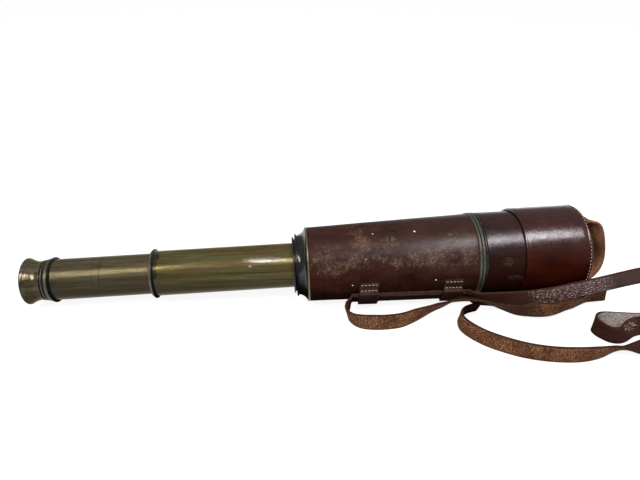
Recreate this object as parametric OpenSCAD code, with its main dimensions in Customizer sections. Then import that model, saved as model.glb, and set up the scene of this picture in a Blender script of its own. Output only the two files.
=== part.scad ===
// Leather-covered telescope with two brass draws, partly drawn out and lying on its side.
// Lengths along the telescope are counted from the rear face of the barrel, towards the front cap.

/* [Barrel] */
// Outer radius of the barrel leather at its rear end
barrel_rear_r = 31.5; // [28:0.1:34]
// Thickness of the barrel leather
barrel_leather_t = 1.4; // [0.8:0.1:1.8]
// Wall of the barrel tube
barrel_wall = 0.8; // [0.5:0.1:1.2]
// Length of the leather-covered part of the barrel
barrel_leather_len = 138.3; // [125:0.1:145]
// Length of the plain tube in front of the leather, which carries the ray shade
nose_len = 71.9; // [66:0.1:80]
// Length of the ring at the front edge of the barrel leather
barrel_ring_len = 2.3; // [1.5:0.1:4]
// How far the ring and the shade's rear ring stand above the shade leather
ring_rise = 0.3; // [0.1:0.1:1]

/* [Rear collar] */
// Radius of the rear flange, nearest the large draw
rear_flange_r = 23.9; // [23:0.1:25]
// Radius of the front flange
front_flange_r = 26.6; // [26:0.1:28]
// Thickness of each flange
flange_t = 1.5; // [1:0.1:2]
// Width of the groove between the flanges
flange_groove = 0.9; // [0.5:0.1:1.5]
// Radius of the concave collar where it meets the front flange
collar_neck_r = 25.4; // [24.5:0.1:26]
// Length of the concave collar
collar_len = 7.2; // [6:0.1:9]
// Radius of the hollow of the concave collar
collar_hollow_r = 9; // [8:0.5:14]
// Length of the collar's spigot inside the barrel tube
collar_spigot_len = 12; // [8:0.5:16]
// How far the brass bead stands above the rear edge of the leather behind which it lies
bead_rise = 0.3; // [0:0.1:0.8]
// Width of the brass bead
bead_w = 1.8; // [1.2:0.1:2.4]
// Length of the sleeve that guides the large draw
large_sleeve_len = 30; // [26:0.5:36]
// Wall of the sleeve that guides the large draw
large_sleeve_wall = 1.2; // [0.8:0.1:1.6]

/* [Large draw] */
// Outer radius of the large draw tube
large_draw_r = 18.95; // [18.6:0.05:19.3]
// Wall of the large draw tube
large_draw_wall = 0.7; // [0.5:0.05:0.8]
// Length of the large draw tube
large_draw_len = 203; // [195:0.5:208]
// Length of large draw that shows behind the barrel
large_draw_out = 113.8; // [100:0.1:120]
// Length of the draw collar
draw_collar_len = 4; // [3.6:0.1:8]
// Radius of the draw collar's band
draw_collar_r = 19.5; // [19.2:0.1:20]
// Radius of the bead on the draw collar
draw_bead_r = 20.85; // [20.4:0.05:21.5]
// Width of the bead on the draw collar
draw_bead_w = 2.5; // [1.6:0.1:2.6]
// Length of the sleeve that guides the eye draw
eye_sleeve_len = 32; // [26:0.5:36]
// Length of the stop ring at the inner end of each draw
stop_ring_len = 6; // [4:0.5:8]
// Radius of the large draw's stop ring
large_stop_r = 21; // [20.4:0.1:22]

/* [Eye draw] */
// Outer radius of the eye draw tube
eye_draw_r = 17.05; // [16.8:0.05:17.3]
// Wall of the eye draw tube
eye_draw_wall = 0.6; // [0.4:0.05:0.8]
// Length of the eye draw tube
eye_draw_len = 200; // [192:0.5:204]
// Length of eye draw that shows behind the draw collar
eye_draw_out = 79; // [70:0.1:84]
// Radius of the black bead beside the eyecup
eye_bead_r = 18.9; // [18.4:0.1:19.6]
// Width of the black bead
eye_bead_w = 1.8; // [1.4:0.1:2.6]
// Radius of the grip ring
grip_ring_r = 17.9; // [17.4:0.1:18.4]
// Width of the grip ring
grip_ring_w = 3; // [2.4:0.1:4]
// Radius of the grey ring
grey_ring_r = 17.1; // [16.9:0.1:17.5]
// Width of the grey ring
grey_ring_w = 2.1; // [1.6:0.1:3]
// Width of each black groove beside the grey ring
eye_groove_w = 0.9; // [0.6:0.1:1.2]
// Length of the eyecup from the grooves to its rim
eyecup_len = 14.4; // [12:0.1:17]
// Radius of the eyecup's rim
eyecup_rim_r = 19.3; // [18.6:0.1:20]
// Radius of the eyecup's waist
eyecup_waist_r = 16.3; // [15.8:0.1:16.6]
// Radius of the eyecup's sight hole
sight_hole_r = 6.5; // [5:0.5:8]

/* [Lenses] */
// Radius of the objective lenses
objective_r = 30.5; // [29:0.1:31]
// Thickness of the crown lens at its edge
crown_edge_t = 3; // [2.4:0.1:3.6]
// Thickness of the flint lens at its edge
flint_edge_t = 3.8; // [3.4:0.1:4.4]
// Thickness of the spacer ring between the objective lenses
lens_spacer_t = 0.6; // [0.4:0.1:1]
// Width of the seat that holds each lens at its edge
lens_seat = 1.6; // [1:0.1:2.4]
// Distance of the objective cell behind the front end of the nose
objective_depth = 1; // [0.5:0.5:3]
// Radius of the eye lens
eye_lens_r = 8.5; // [7.5:0.1:10]
// Radius of the field lens
field_lens_r = 13; // [12:0.1:14]
// Distance between the eye lens and the field lens
eyepiece_len = 32; // [26:0.5:38]
// Radius of each erector lens
erector_lens_r = 11; // [9:0.1:12.5]
// Distance between the erector lenses
erector_len = 58; // [50:0.5:66]
// Thickness of the small lenses at their edge
small_lens_t = 2; // [1.6:0.1:2.4]
// Wall of the lens tubes inside the eye draw
lens_tube_wall = 0.8; // [0.6:0.1:1.2]
// Thickness of the light stops
stop_t = 1; // [0.8:0.1:1.6]

/* [Ray shade] */
// Outer radius of the shade's leather
shade_r = 35.9; // [35.7:0.05:36.2]
// Thickness of the shade's leather
shade_leather_t = 1.2; // [0.9:0.1:1.3]
// Wall of the shade tube
shade_wall = 0.7; // [0.5:0.05:0.9]
// Length of the shade with its rings
shade_len = 87.6; // [82:0.1:92]
// Length of the ring at the rear end of the shade
shade_ring_len = 4.6; // [3:0.1:6]
// Length of the ring at the front end of the shade
shade_front_ring_len = 3; // [2:0.1:4]

/* [Front cap] */
// Outer radius of the cap
cap_r = 38; // [37.6:0.1:38.6]
// Length of the cap
cap_len = 55.6; // [50:0.1:60]
// Thickness of the cap's leather wall
cap_wall_t = 1.4; // [1:0.1:1.6]
// Thickness of the cap's leather end
cap_end_t = 3; // [2.4:0.1:4]
// Radius of the rounded edge of the cap's end
cap_edge_r = 1.6; // [0.8:0.1:2]
// Width of the pull strap
pull_strap_w = 16; // [12:0.5:18]
// Thickness of the pull strap
pull_strap_t = 2.2; // [1.6:0.1:2.6]

/* [Sling and keepers] */
// Width of the sling strap
sling_w = 15.5; // [14:0.1:16]
// Thickness of the sling strap
sling_t = 2; // [1.6:0.1:2.4]
// Angle of the keepers below the side of the barrel
keeper_angle = 30; // [26:1:34]
// Length of each keeper along the barrel
keeper_len = 16; // [12:0.5:20]
// Distance of the rear keeper's middle from the barrel's rear face
rear_keeper_pos = 61; // [50:0.5:70]
// Distance of the front keeper's middle from the barrel's rear face
front_keeper_pos = 131; // [120:0.5:134]
// Thickness of the keepers' leather
keeper_t = 1.4; // [1:0.1:1.8]
// Angle that each sewn end of a keeper covers
keeper_pad_angle = 17; // [10:1:20]
// Length of strap that runs straight past each keeper
keeper_lead = 3; // [2:0.5:5]

/* [Fits] */
// Radial running clearance of the draws and the shade
running_fit = 0.06; // [0.02:0.01:0.1]
// Radial clearance of the cap's lining on the shade
cap_fit = 0.08; // [0.04:0.01:0.1]
// Gap left between moving faces where they stop
stop_gap = 0.4; // [0.3:0.1:0.8]
// Gap between the strap and the leather round it
strap_gap = 0.3; // [0.2:0.1:0.6]

/* [Hidden] */
$fn = 96;

// Stations along the telescope
collar_x = 2 * flange_t + flange_groove;
leather_x = collar_x + collar_len + bead_w;
leather_end_x = leather_x + barrel_leather_len;
barrel_ring_end_x = leather_end_x + barrel_ring_len;
nose_x = leather_end_x + nose_len;
shade_x = barrel_ring_end_x + stop_gap;
shade_end_x = shade_x + shade_len;
cap_end_x = shade_end_x + stop_gap + cap_end_t;
cap_x = cap_end_x - cap_len;
large_draw_x = -large_draw_out - draw_collar_len;
large_draw_end_x = large_draw_x + large_draw_len;
eye_draw_x = large_draw_x - eye_draw_out;
eye_draw_end_x = eye_draw_x + eye_draw_len;
grip_x = eye_draw_x - eye_bead_w - grip_ring_w;
grey_x = grip_x - eye_groove_w - grey_ring_w;
eyecup_x = grey_x - eye_groove_w;
eyecup_end_x = eyecup_x - eyecup_len;

// Radii that follow from the fits
shade_tube_r = shade_r - shade_leather_t;
shade_bore_r = shade_tube_r - shade_wall;
nose_r = shade_bore_r - running_fit;
nose_bore_r = nose_r - barrel_wall;
ring_r = shade_r + ring_rise;
bead_r = barrel_rear_r + bead_rise;
barrel_tube_rear_r = barrel_rear_r - barrel_leather_t;
barrel_bore_r = barrel_tube_rear_r - barrel_wall;
barrel_front_r = nose_r + barrel_leather_t;
collar_bore_r = large_draw_r + running_fit + large_sleeve_wall;
eye_sleeve_r = large_draw_r - large_draw_wall;
eye_bore_r = eye_draw_r - eye_draw_wall;
cap_lining_r = cap_r - cap_wall_t;
cap_bore_r = shade_r + cap_fit;

// The slope of the barrel, and the tilt at which it rests on its bead and on the cap's rim
barrel_slope = (barrel_front_r - barrel_rear_r) / barrel_leather_len;
bead_x = collar_x + collar_len + bead_w / 2;
cap_rim_bevel = 0.4;
tilt = atan((cap_r - bead_r) / (cap_x + cap_rim_bevel - bead_x));
axis_height = bead_r * cos(tilt) - bead_x * sin(tilt);

// The pull strap's middle line: place along the telescope past the cap's end, then to the
// side away from the viewer, then up
pull_strap_points = [
    [0.1, -5, 31.8], [2.5, -5, 31.8], [7, -6.7, 31.3], [10.4, -8.4, 29.6], [12.5, -9.7, 25.8],
    [14.6, -11.2, 18.8], [17, -12.7, 8.3], [17.8, -14.4, -1.7], [15.4, -16.4, -10.2],
    [9.5, -17.4, -18.2], [2.5, -17, -22], [0.1, -17, -22]
];

// The middle of the part's length is its origin
left_x = eyecup_end_x * cos(tilt) - eyecup_rim_r * sin(tilt);
right_x = max([
    for (p = pull_strap_points) (cap_end_x + p[0] + pull_strap_t / 2) * cos(tilt) - p[2] * sin(tilt)
]);
middle_x = (left_x + right_x) / 2;

// Free stretches of the sling, from the keepers to their tips. Each point is the middle of the
// strap with the angle that its upper edge leans to the left of its way
sling_rear_points = [
    [24, -31, 13.5, 20], [22, -35, 10.5, 8], [22, -41, 8.5, 0], [26, -46.5, 7.8, 0],
    [32, -49.6, 7.8, 0], [41, -51.2, 7.8, 0], [52, -51.6, 7.8, 0], [65, -50, 7.9, 0],
    [77, -45.5, 8.6, -6], [92, -42.5, 13, -30], [102, -44, 19, -48], [112, -46, 24, -58],
    [126, -46.5, 23, -58], [143, -46.5, 17.5, -52], [163.8, -47, 9.8, -34], [174.6, -48, 10, -18],
    [185.8, -48.9, 11, -8], [194.6, -49.2, 12.5, -8], [203.8, -47.8, 13, -12],
    [212.5, -45, 11, -18], [219.7, -39.8, 9.4, -16], [228.7, -33.2, 8.12, -14],
    [236, -29.9, 8.02, -14], [243.9, -29, 8.02, -14], [249.8, -29.8, 9.4, -14]
];
sling_front_points = [
    [132, -34.9, 14.6, -14], [144, -35.6, 12.6, -6], [158, -36.2, 11.4, 4], [176, -39.4, 15.8, 8],
    [190, -43, 21.5, 8], [204, -44.6, 26.4, 6], [215, -45, 29.3, 5], [231, -45.6, 33.9, 4],
    [249, -46.4, 39.4, 4], [262, -47.2, 42.8, 4], [277, -47, 42.5, 6], [291, -48.5, 37.5, 0],
    [299, -53, 30, 0], [297, -59.5, 22, 0], [288, -63.5, 15.5, 0], [275, -65.8, 11, 0],
    [261, -64.2, 7.4, -34], [246, -62, 6.95, -38], [233, -60.6, 7.35, -32], [225.6, -61, 8, -12],
    [221.8, -63.6, 7.85, 0], [221.2, -67.6, 7.85, 0], [223, -72, 7.85, 0], [227, -77, 7.85, 0],
    [231.5, -79, 8, 6], [236.5, -78.4, 8.1, 18], [241, -76, 8.2, 28], [249, -71.4, 8.5, 32],
    [260, -69.4, 8.8, 28], [271, -69.8, 9.3, 12], [279, -72, 9.1, 0], [283, -77, 9.1, 0],
    [281.4, -81.6, 8.2, 14], [274, -83, 5.2, 58], [262, -84.2, 2.2, 84], [250, -87.8, 2.2, 82],
    [240, -90.8, 3.6, 70], [231, -92, 6, 52], [220, -94.6, 7.75, 24], [207, -97, 7.85, 8],
    [191, -97.8, 7.85, 0], [173, -96, 7.85, 0], [156, -91.6, 7.85, 0], [142, -85.2, 7.85, 0],
    [128, -76.2, 7.85, 0], [118.5, -66.5, 7.85, 0], [113.5, -57.5, 7.85, 0], [114, -49.5, 7.85, -4],
    [118, -43.4, 7.9, -14], [125, -39.2, 7.9, -22], [134, -36.4, 7.9, -22]
];
sling_steps = 2;

function barrel_r(x) = barrel_rear_r + barrel_slope * (x - leather_x);

// Turns a point given along the telescope, away from the viewer and up into the part's frame
function placed(p) = [
    p[0] * cos(tilt) - p[2] * sin(tilt) - middle_x,
    p[1],
    p[0] * sin(tilt) + p[2] * cos(tilt) + axis_height
];
function turned(p) = placed(p) - placed([0, 0, 0]);
function unit(v) = v / norm(v);

// A smooth curve through the points p, with n steps from each to the next
function spline(p, n) = [
    for (i = [0 : len(p) - 2], k = [0 : (i == len(p) - 2 ? n : n - 1)])
        let (
            t = k / n,
            a = p[max(i - 1, 0)],
            b = p[i],
            c = p[i + 1],
            d = p[min(i + 2, len(p) - 1)]
        )
        0.5 * (2 * b + (c - a) * t + (2 * a - 5 * b + 4 * c - d) * t * t
            + (3 * b - a - 3 * c + d) * t * t * t)
];
function along(path, i) = unit(path[min(i + 1, len(path) - 1)] - path[max(i - 1, 0)]);

// The direction from a strap's lower to its upper edge, where it goes along d and leans by angle a
function leaning(d, a) =
    let (
        left = unit(cross([0, 0, 1], d)),
        up = cross(d, left)
    )
    up * cos(a) + left * sin(a);

// A flat strap of width w and thickness t along a path, with the given directions of its width
module ribbon(path, widths, w, t) {
    last = len(path) - 1;
    rings = [
        for (i = [0 : last])
            let (
                d = along(path, i),
                across = unit(widths[i] - d * (widths[i] * d)) * w / 2,
                out = unit(cross(d, across)) * t / 2
            )
            each [path[i] - across - out, path[i] - across + out,
                path[i] + across + out, path[i] + across - out]
    ];
    sides = [
        for (i = [0 : last - 1], k = [0 : 3])
            let (
                a = 4 * i + k,
                b = 4 * i + (k + 1) % 4
            )
            each [[a, b, b + 4], [a, b + 4, a + 4]]
    ];
    ends = [[0, 2, 1], [0, 3, 2], [4 * last, 4 * last + 1, 4 * last + 2],
        [4 * last, 4 * last + 2, 4 * last + 3]];
    polyhedron(points = rings, faces = concat(sides, ends), convexity = 8);
}

// Lays children drawn round the Z axis along the telescope, at rest on the ground
module lay() {
    multmatrix([
        [cos(tilt), 0, -sin(tilt), -middle_x],
        [0, 1, 0, 0],
        [sin(tilt), 0, cos(tilt), axis_height],
        [0, 0, 0, 1]
    ])
        rotate([0, 90, 0])
            children();
}

// A ring between two stations, with an outer and an inner radius at each
module ring(x1, x2, outer1, inner1, outer2, inner2) {
    rotate_extrude()
        polygon([[inner1, x1], [outer1, x1], [outer2, x2], [inner2, x2]]);
}
module tube(x1, x2, outer, inner) {
    ring(x1, x2, outer, inner, outer, inner);
}

// A turned bead: a ring with a round outside
module bead(x1, x2, outer, inner) {
    half = (x2 - x1) / 2;
    depth = min(half, outer - inner);
    steps = 12;
    rotate_extrude()
        polygon(concat(
            [[inner, x2], [inner, x1]],
            [
                for (i = [0 : steps])
                    let (a = -90 + 180 * i / steps)
                    [outer - depth + depth * cos(a), x1 + half + half * sin(a)]
            ]
        ));
}

// Half of a lens face, from its middle at z out to radius r: the edge lies dz further on
function lens_face(z, dz, r) =
    let (
        steps = 10,
        curve_r = (r * r + dz * dz) / (2 * abs(dz)),
        span = asin(r / curve_r)
    )
    [
        for (i = [0 : steps])
            let (a = span * i / steps)
            [curve_r * sin(a), z + sign(dz) * curve_r * (1 - cos(a))]
    ];

// A round lens with a flat seat round each face; a positive bulge is convex
module lens(x, edge_t, r, rear_bulge, front_bulge) {
    rear = lens_face(x - rear_bulge, rear_bulge, r - lens_seat);
    front = lens_face(x + edge_t + front_bulge, -front_bulge, r - lens_seat);
    last = len(front) - 1;
    rotate_extrude()
        polygon(concat(
            rear,
            [[r, x], [r, x + edge_t]],
            [for (i = [0 : last]) front[last - i]]
        ));
}

module barrel_tube() {
    tube_x = collar_x + collar_len;
    color("darkgoldenrod")
        lay()
            rotate_extrude()
                polygon([
                    [barrel_bore_r, tube_x],
                    [barrel_tube_rear_r, tube_x],
                    [barrel_tube_rear_r, leather_x],
                    [nose_r, leather_end_x],
                    [nose_r, nose_x],
                    [nose_bore_r, nose_x],
                    [nose_bore_r, leather_end_x],
                    [barrel_bore_r, leather_x]
                ]);
}

module barrel_leather() {
    color([0.24, 0.12, 0.10])
        lay()
            ring(leather_x, leather_end_x, barrel_rear_r, barrel_tube_rear_r, barrel_front_r, nose_r);
}

module barrel_end_bead() {
    color([0.55, 0.48, 0.28])
        lay()
            bead(leather_x - bead_w, leather_x, bead_r, barrel_tube_rear_r);
}

// The concave collar, with a spigot that fits the barrel tube
module barrel_collar() {
    front_x = collar_x + collar_len;
    mouth_r = bead_r - 0.6;
    rear = [collar_neck_r, collar_x];
    front = [mouth_r, front_x];
    chord = front - rear;
    sag = sqrt(pow(collar_hollow_r, 2) - pow(norm(chord) / 2, 2));
    across = [chord[1], -chord[0]] / norm(chord);
    centre = (rear + front) / 2 + across * sag;
    start = atan2(rear[1] - centre[1], rear[0] - centre[0]);
    stop = atan2(front[1] - centre[1], front[0] - centre[0]);
    steps = 12;
    sweep = (stop - start - 360 * round((stop - start) / 360)) / steps;
    hollow = [for (i = [0 : steps]) centre + collar_hollow_r * [cos(start + sweep * i), sin(start + sweep * i)]];
    web = 3;
    spigot_wall = 2;
    color([0.10, 0.11, 0.10])
        lay()
            rotate_extrude()
                polygon(concat(
                    [[collar_bore_r, collar_x]],
                    hollow,
                    [
                        [barrel_bore_r, front_x],
                        [barrel_bore_r, front_x + collar_spigot_len],
                        [barrel_bore_r - spigot_wall, front_x + collar_spigot_len],
                        [barrel_bore_r - spigot_wall, front_x],
                        [collar_neck_r - spigot_wall, collar_x + web],
                        [collar_bore_r, collar_x + web]
                    ]
                ));
}

module collar_flanges() {
    core_r = rear_flange_r - 1.6;
    edge = 0.3;
    color([0.16, 0.16, 0.15])
        lay()
            rotate_extrude()
                polygon([
                    [collar_bore_r, 0],
                    [rear_flange_r - edge, 0],
                    [rear_flange_r, edge],
                    [rear_flange_r, flange_t - edge],
                    [rear_flange_r - edge, flange_t],
                    [core_r, flange_t],
                    [core_r, collar_x - flange_t],
                    [front_flange_r - edge, collar_x - flange_t],
                    [front_flange_r, collar_x - flange_t + edge],
                    [front_flange_r, collar_x - edge],
                    [front_flange_r - edge, collar_x],
                    [collar_bore_r, collar_x]
                ]);
}

module barrel_slide_sleeve() {
    color("goldenrod")
        lay()
            tube(0, large_sleeve_len, collar_bore_r, large_draw_r + running_fit);
}

// A ring with rounded ridges, side by side
module ridged_ring(x1, x2, outer, inner, ridges) {
    pitch = (x2 - x1) / ridges;
    for (i = [0 : ridges - 1])
        bead(x1 + pitch * i, x1 + pitch * (i + 1), outer, inner);
}

module barrel_front_ring() {
    color([0.30, 0.31, 0.25])
        lay()
            bead(leather_end_x, barrel_ring_end_x, ring_r, nose_r);
}

module shade_rear_ring() {
    color([0.30, 0.31, 0.25])
        lay()
            ridged_ring(shade_x, shade_x + shade_ring_len, ring_r, shade_tube_r, 2);
}

// The objective, from its cell's rear end to the retaining ring
cell_front_x = nose_x - objective_depth;
ring_len = 1.8;
crown_x = cell_front_x - ring_len - crown_edge_t;
spacer_x = crown_x - lens_spacer_t;
flint_x = spacer_x - flint_edge_t;
cell_x = flint_x - lens_seat;

module objective_cell() {
    color([0.12, 0.12, 0.12])
        lay()
            rotate_extrude()
                polygon([
                    [objective_r - lens_seat, cell_x],
                    [nose_bore_r, cell_x],
                    [nose_bore_r, cell_front_x],
                    [objective_r, cell_front_x],
                    [objective_r, flint_x],
                    [objective_r - lens_seat, flint_x]
                ]);
}

module crown_lens() {
    color([0.80, 0.90, 0.92, 0.6])
        lay()
            lens(crown_x, crown_edge_t, objective_r, 1.6, 1.4);
}

module lens_spacer_ring() {
    color("dimgray")
        lay()
            tube(spacer_x, crown_x, objective_r, objective_r - lens_seat);
}

module flint_lens() {
    color([0.78, 0.88, 0.86, 0.6])
        lay()
            lens(flint_x, flint_edge_t, objective_r, -0.6, -1.7);
}

module objective_retaining_ring() {
    color([0.14, 0.14, 0.13])
        lay()
            tube(crown_x + crown_edge_t, cell_front_x, objective_r, objective_r - lens_seat);
}

module barrel_baffle() {
    baffle_x = cell_x - 14;
    baffle_hole_r = large_stop_r + 3;
    color([0.10, 0.10, 0.10])
        lay()
            tube(baffle_x, baffle_x + stop_t, nose_bore_r, baffle_hole_r);
}

// Points of an arc round the telescope, at angles below the side that faces the viewer
function arc(r, from, to) =
    let (steps = ceil(abs(to - from) / 1.5))
    [for (i = [0 : steps]) let (a = from + (to - from) * i / steps) r * [sin(a), -cos(a)]];

// A leather loop sewn to the barrel above and below the strap that it holds
module keeper(x) {
    x1 = x - keeper_len / 2;
    r = barrel_r(x1);
    side_angle = atan((sling_w / 2 + strap_gap) / (r + strap_gap));
    leg_angle = keeper_t / r * 180 / PI;
    rise = norm([r + strap_gap + sling_t, sling_w / 2]) - r + strap_gap;
    top = keeper_angle - side_angle;
    bottom = keeper_angle + side_angle;
    translate([0, 0, x1])
        linear_extrude(height = keeper_len, scale = barrel_r(x1 + keeper_len) / r)
            polygon(concat(
                arc(r + keeper_t, top - keeper_pad_angle, top - leg_angle),
                arc(r + rise + keeper_t, top - leg_angle, bottom + leg_angle),
                arc(r + keeper_t, bottom + leg_angle, bottom + keeper_pad_angle),
                arc(r, bottom + keeper_pad_angle, bottom),
                arc(r + rise, bottom, top),
                arc(r, top, top - keeper_pad_angle)
            ));
}

module rear_keeper() {
    color([0.26, 0.13, 0.11])
        lay()
            keeper(rear_keeper_pos);
}

module front_keeper() {
    color([0.26, 0.13, 0.11])
        lay()
            keeper(front_keeper_pos);
}

// Where the strap lies under the keepers, as a point of its middle line
function strap_on_barrel(x) =
    let (r = barrel_r(x) + strap_gap + sling_t / 2)
    placed([x, -r * cos(keeper_angle), -r * sin(keeper_angle)]);
strap_width_dir = turned([0, -sin(keeper_angle), cos(keeper_angle)]);
strap_rear = strap_on_barrel(rear_keeper_pos - keeper_len / 2 - keeper_lead);
strap_front = strap_on_barrel(front_keeper_pos + keeper_len / 2 + keeper_lead);
strap_dir = unit(strap_front - strap_rear);

module sling_middle() {
    color([0.23, 0.14, 0.12])
        ribbon([strap_rear, strap_front], [strap_width_dir, strap_width_dir], sling_w, sling_t);
}

// A free stretch of the sling, from where it leaves a keeper going along d
module free_stretch(from, d, angle, points) {
    first = [from[0], from[1], from[2], angle];
    second = first + keeper_lead * [d[0], d[1], d[2], 0];
    curve = concat([first], spline(concat([second], points), sling_steps));
    path = [for (p = curve) [p[0], p[1], p[2]]];
    widths = [
        for (i = [0 : len(path) - 1])
            i == 0 ? strap_width_dir : leaning(along(path, i), curve[i][3])
    ];
    ribbon(path, widths, sling_w, sling_t);
}

module sling_rear() {
    color([0.30, 0.18, 0.12])
        free_stretch(strap_rear, -strap_dir, keeper_angle, sling_rear_points);
}

module sling_front() {
    color([0.28, 0.16, 0.11])
        free_stretch(strap_front, strap_dir, -keeper_angle, sling_front_points);
}

module large_draw_tube() {
    lip = 1;
    color([0.45, 0.42, 0.24])
        lay()
            tube(large_draw_x + lip, large_draw_end_x, large_draw_r, eye_sleeve_r);
}

module large_draw_collar() {
    lip = 1;
    front_x = large_draw_x + draw_collar_len;
    color([0.36, 0.34, 0.22])
        lay() {
            difference() {
                tube(large_draw_x, front_x, draw_collar_r, eye_draw_r + running_fit);
                translate([0, 0, large_draw_x + lip])
                    cylinder(r = large_draw_r, h = draw_collar_len);
            }
            bead(large_draw_x + lip, large_draw_x + lip + draw_bead_w, draw_bead_r, large_draw_r);
        }
}

module large_draw_sleeve() {
    lip = 1;
    color("goldenrod")
        lay()
            tube(large_draw_x + lip, large_draw_x + lip + eye_sleeve_len, eye_sleeve_r,
                eye_draw_r + running_fit);
}

module large_draw_stop_ring() {
    color("goldenrod")
        lay()
            tube(large_draw_end_x - stop_ring_len, large_draw_end_x, large_stop_r, large_draw_r);
}

module eye_draw_tube() {
    color([0.47, 0.42, 0.27])
        lay()
            tube(eye_draw_x, eye_draw_end_x, eye_draw_r, eye_bore_r);
}

module eye_draw_stop_ring() {
    color("goldenrod")
        lay()
            tube(eye_draw_end_x - stop_ring_len, eye_draw_end_x, eye_sleeve_r - stop_gap, eye_draw_r);
}

lens_tube_r = field_lens_r + lens_tube_wall;

module eyepiece_bead_ring() {
    spigot_len = 5;
    color([0.08, 0.08, 0.07])
        lay() {
            bead(eye_draw_x - eye_bead_w, eye_draw_x, eye_bead_r, lens_tube_r);
            tube(eye_draw_x - eye_bead_w / 2, eye_draw_x + spigot_len, eye_bore_r, lens_tube_r);
        }
}

neck_r = grey_ring_r - 0.9;

module eyepiece_grip_ring() {
    edge = 0.5;
    ring_x = grip_x + grip_ring_w;
    color([0.42, 0.40, 0.28])
        lay()
            rotate_extrude()
                polygon([
                    [lens_tube_r, eyecup_x],
                    [neck_r, eyecup_x],
                    [neck_r, grip_x],
                    [grip_ring_r - edge, grip_x],
                    [grip_ring_r, grip_x + edge],
                    [grip_ring_r, ring_x - edge],
                    [grip_ring_r - edge, ring_x],
                    [lens_tube_r, ring_x]
                ]);
}

module eyepiece_grey_ring() {
    color([0.42, 0.38, 0.42])
        lay()
            bead(grey_x, grey_x + grey_ring_w, grey_ring_r, neck_r);
}

// The eyepiece: eye lens at the sight hole, field lens towards the erectors
eye_shoulder_x = eyecup_end_x + 6.5;
field_end_x = eye_shoulder_x + small_lens_t + eyepiece_len;
lens_tube_bore_r = field_lens_r - lens_seat;

// The flared eyecup, turned from one piece with a dished face round the sight hole
module eyecup() {
    waist_x = eyecup_x - 0.3 * eyecup_len;
    rim_t = 1.2;
    flare_steps = 12;
    // From the waist to the rim the outside follows a quarter of a cosine wave
    flare = [
        for (i = [0 : flare_steps])
            let (t = i / flare_steps)
            [
                eyecup_waist_r + (eyecup_rim_r - eyecup_waist_r) * (1 - cos(90 * t)),
                waist_x + (eyecup_end_x + rim_t - waist_x) * t
            ]
    ];
    dish = [
        for (i = [0 : flare_steps])
            let (t = i / flare_steps)
            [
                eyecup_rim_r - 1.4 - (eyecup_rim_r - 1.4 - sight_hole_r) * t,
                eyecup_end_x + 3.6 * sin(90 * t)
            ]
    ];
    color([0.55, 0.49, 0.33])
        lay()
            rotate_extrude()
                polygon(concat(
                    [
                        [lens_tube_r, eyecup_x],
                        [eyecup_waist_r + 0.4, eyecup_x],
                        [eyecup_waist_r + 0.4, eyecup_x - 0.8],
                        [eyecup_waist_r, eyecup_x - 1.6]
                    ],
                    flare,
                    [[eyecup_rim_r, eyecup_end_x + 0.4], [eyecup_rim_r - 0.4, eyecup_end_x]],
                    dish,
                    [[sight_hole_r, eye_shoulder_x], [lens_tube_r, eye_shoulder_x]]
                ));
}

module eyepiece_lens_tube() {
    color([0.13, 0.13, 0.12])
        lay()
            rotate_extrude()
                polygon([
                    [eye_lens_r, eye_shoulder_x],
                    [lens_tube_r, eye_shoulder_x],
                    [lens_tube_r, field_end_x],
                    [field_lens_r, field_end_x],
                    [field_lens_r, field_end_x - small_lens_t],
                    [lens_tube_bore_r, field_end_x - small_lens_t],
                    [lens_tube_bore_r, eye_shoulder_x + small_lens_t + lens_seat],
                    [eye_lens_r - lens_seat, eye_shoulder_x + small_lens_t + lens_seat],
                    [eye_lens_r - lens_seat, eye_shoulder_x + small_lens_t],
                    [eye_lens_r, eye_shoulder_x + small_lens_t]
                ]);
}

module eye_lens() {
    color([0.80, 0.90, 0.92, 0.6])
        lay()
            lens(eye_shoulder_x, small_lens_t, eye_lens_r, -0.1, 1.5);
}

module field_lens() {
    color([0.80, 0.90, 0.92, 0.6])
        lay()
            lens(field_end_x - small_lens_t, small_lens_t, field_lens_r, -0.1, 1.6);
}

module field_stop() {
    stop_x = (eye_shoulder_x + field_end_x) / 2;
    color([0.10, 0.10, 0.10])
        lay()
            tube(stop_x, stop_x + stop_t, lens_tube_bore_r, lens_tube_bore_r / 2);
}

// The erector: two lenses in a tube that seats in the inner end of the eye draw
erector_end_x = eye_draw_end_x - 2;
erector_x = erector_end_x - erector_len - 2 * small_lens_t;
erector_bore_r = erector_lens_r - lens_seat;
erector_tube_r = erector_lens_r + lens_tube_wall;

module erector_tube() {
    seat_len = 6;
    color([0.50, 0.44, 0.26])
        lay()
            rotate_extrude()
                polygon([
                    [erector_lens_r, erector_x],
                    [eye_bore_r, erector_x],
                    [eye_bore_r, erector_x + seat_len],
                    [erector_tube_r, erector_x + seat_len],
                    [erector_tube_r, erector_end_x - seat_len],
                    [eye_bore_r, erector_end_x - seat_len],
                    [eye_bore_r, erector_end_x],
                    [erector_lens_r, erector_end_x],
                    [erector_lens_r, erector_end_x - small_lens_t],
                    [erector_bore_r, erector_end_x - small_lens_t],
                    [erector_bore_r, erector_x + small_lens_t],
                    [erector_lens_r, erector_x + small_lens_t]
                ]);
}

module erector_lens_rear() {
    color([0.80, 0.90, 0.92, 0.6])
        lay()
            lens(erector_x, small_lens_t, erector_lens_r, 1.2, -0.1);
}

module erector_lens_front() {
    color([0.80, 0.90, 0.92, 0.6])
        lay()
            lens(erector_end_x - small_lens_t, small_lens_t, erector_lens_r, -0.1, 1.2);
}

module erector_stop() {
    stop_x = (erector_x + erector_end_x) / 2;
    color([0.10, 0.10, 0.10])
        lay()
            tube(stop_x, stop_x + stop_t, erector_bore_r, erector_bore_r / 2);
}

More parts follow.
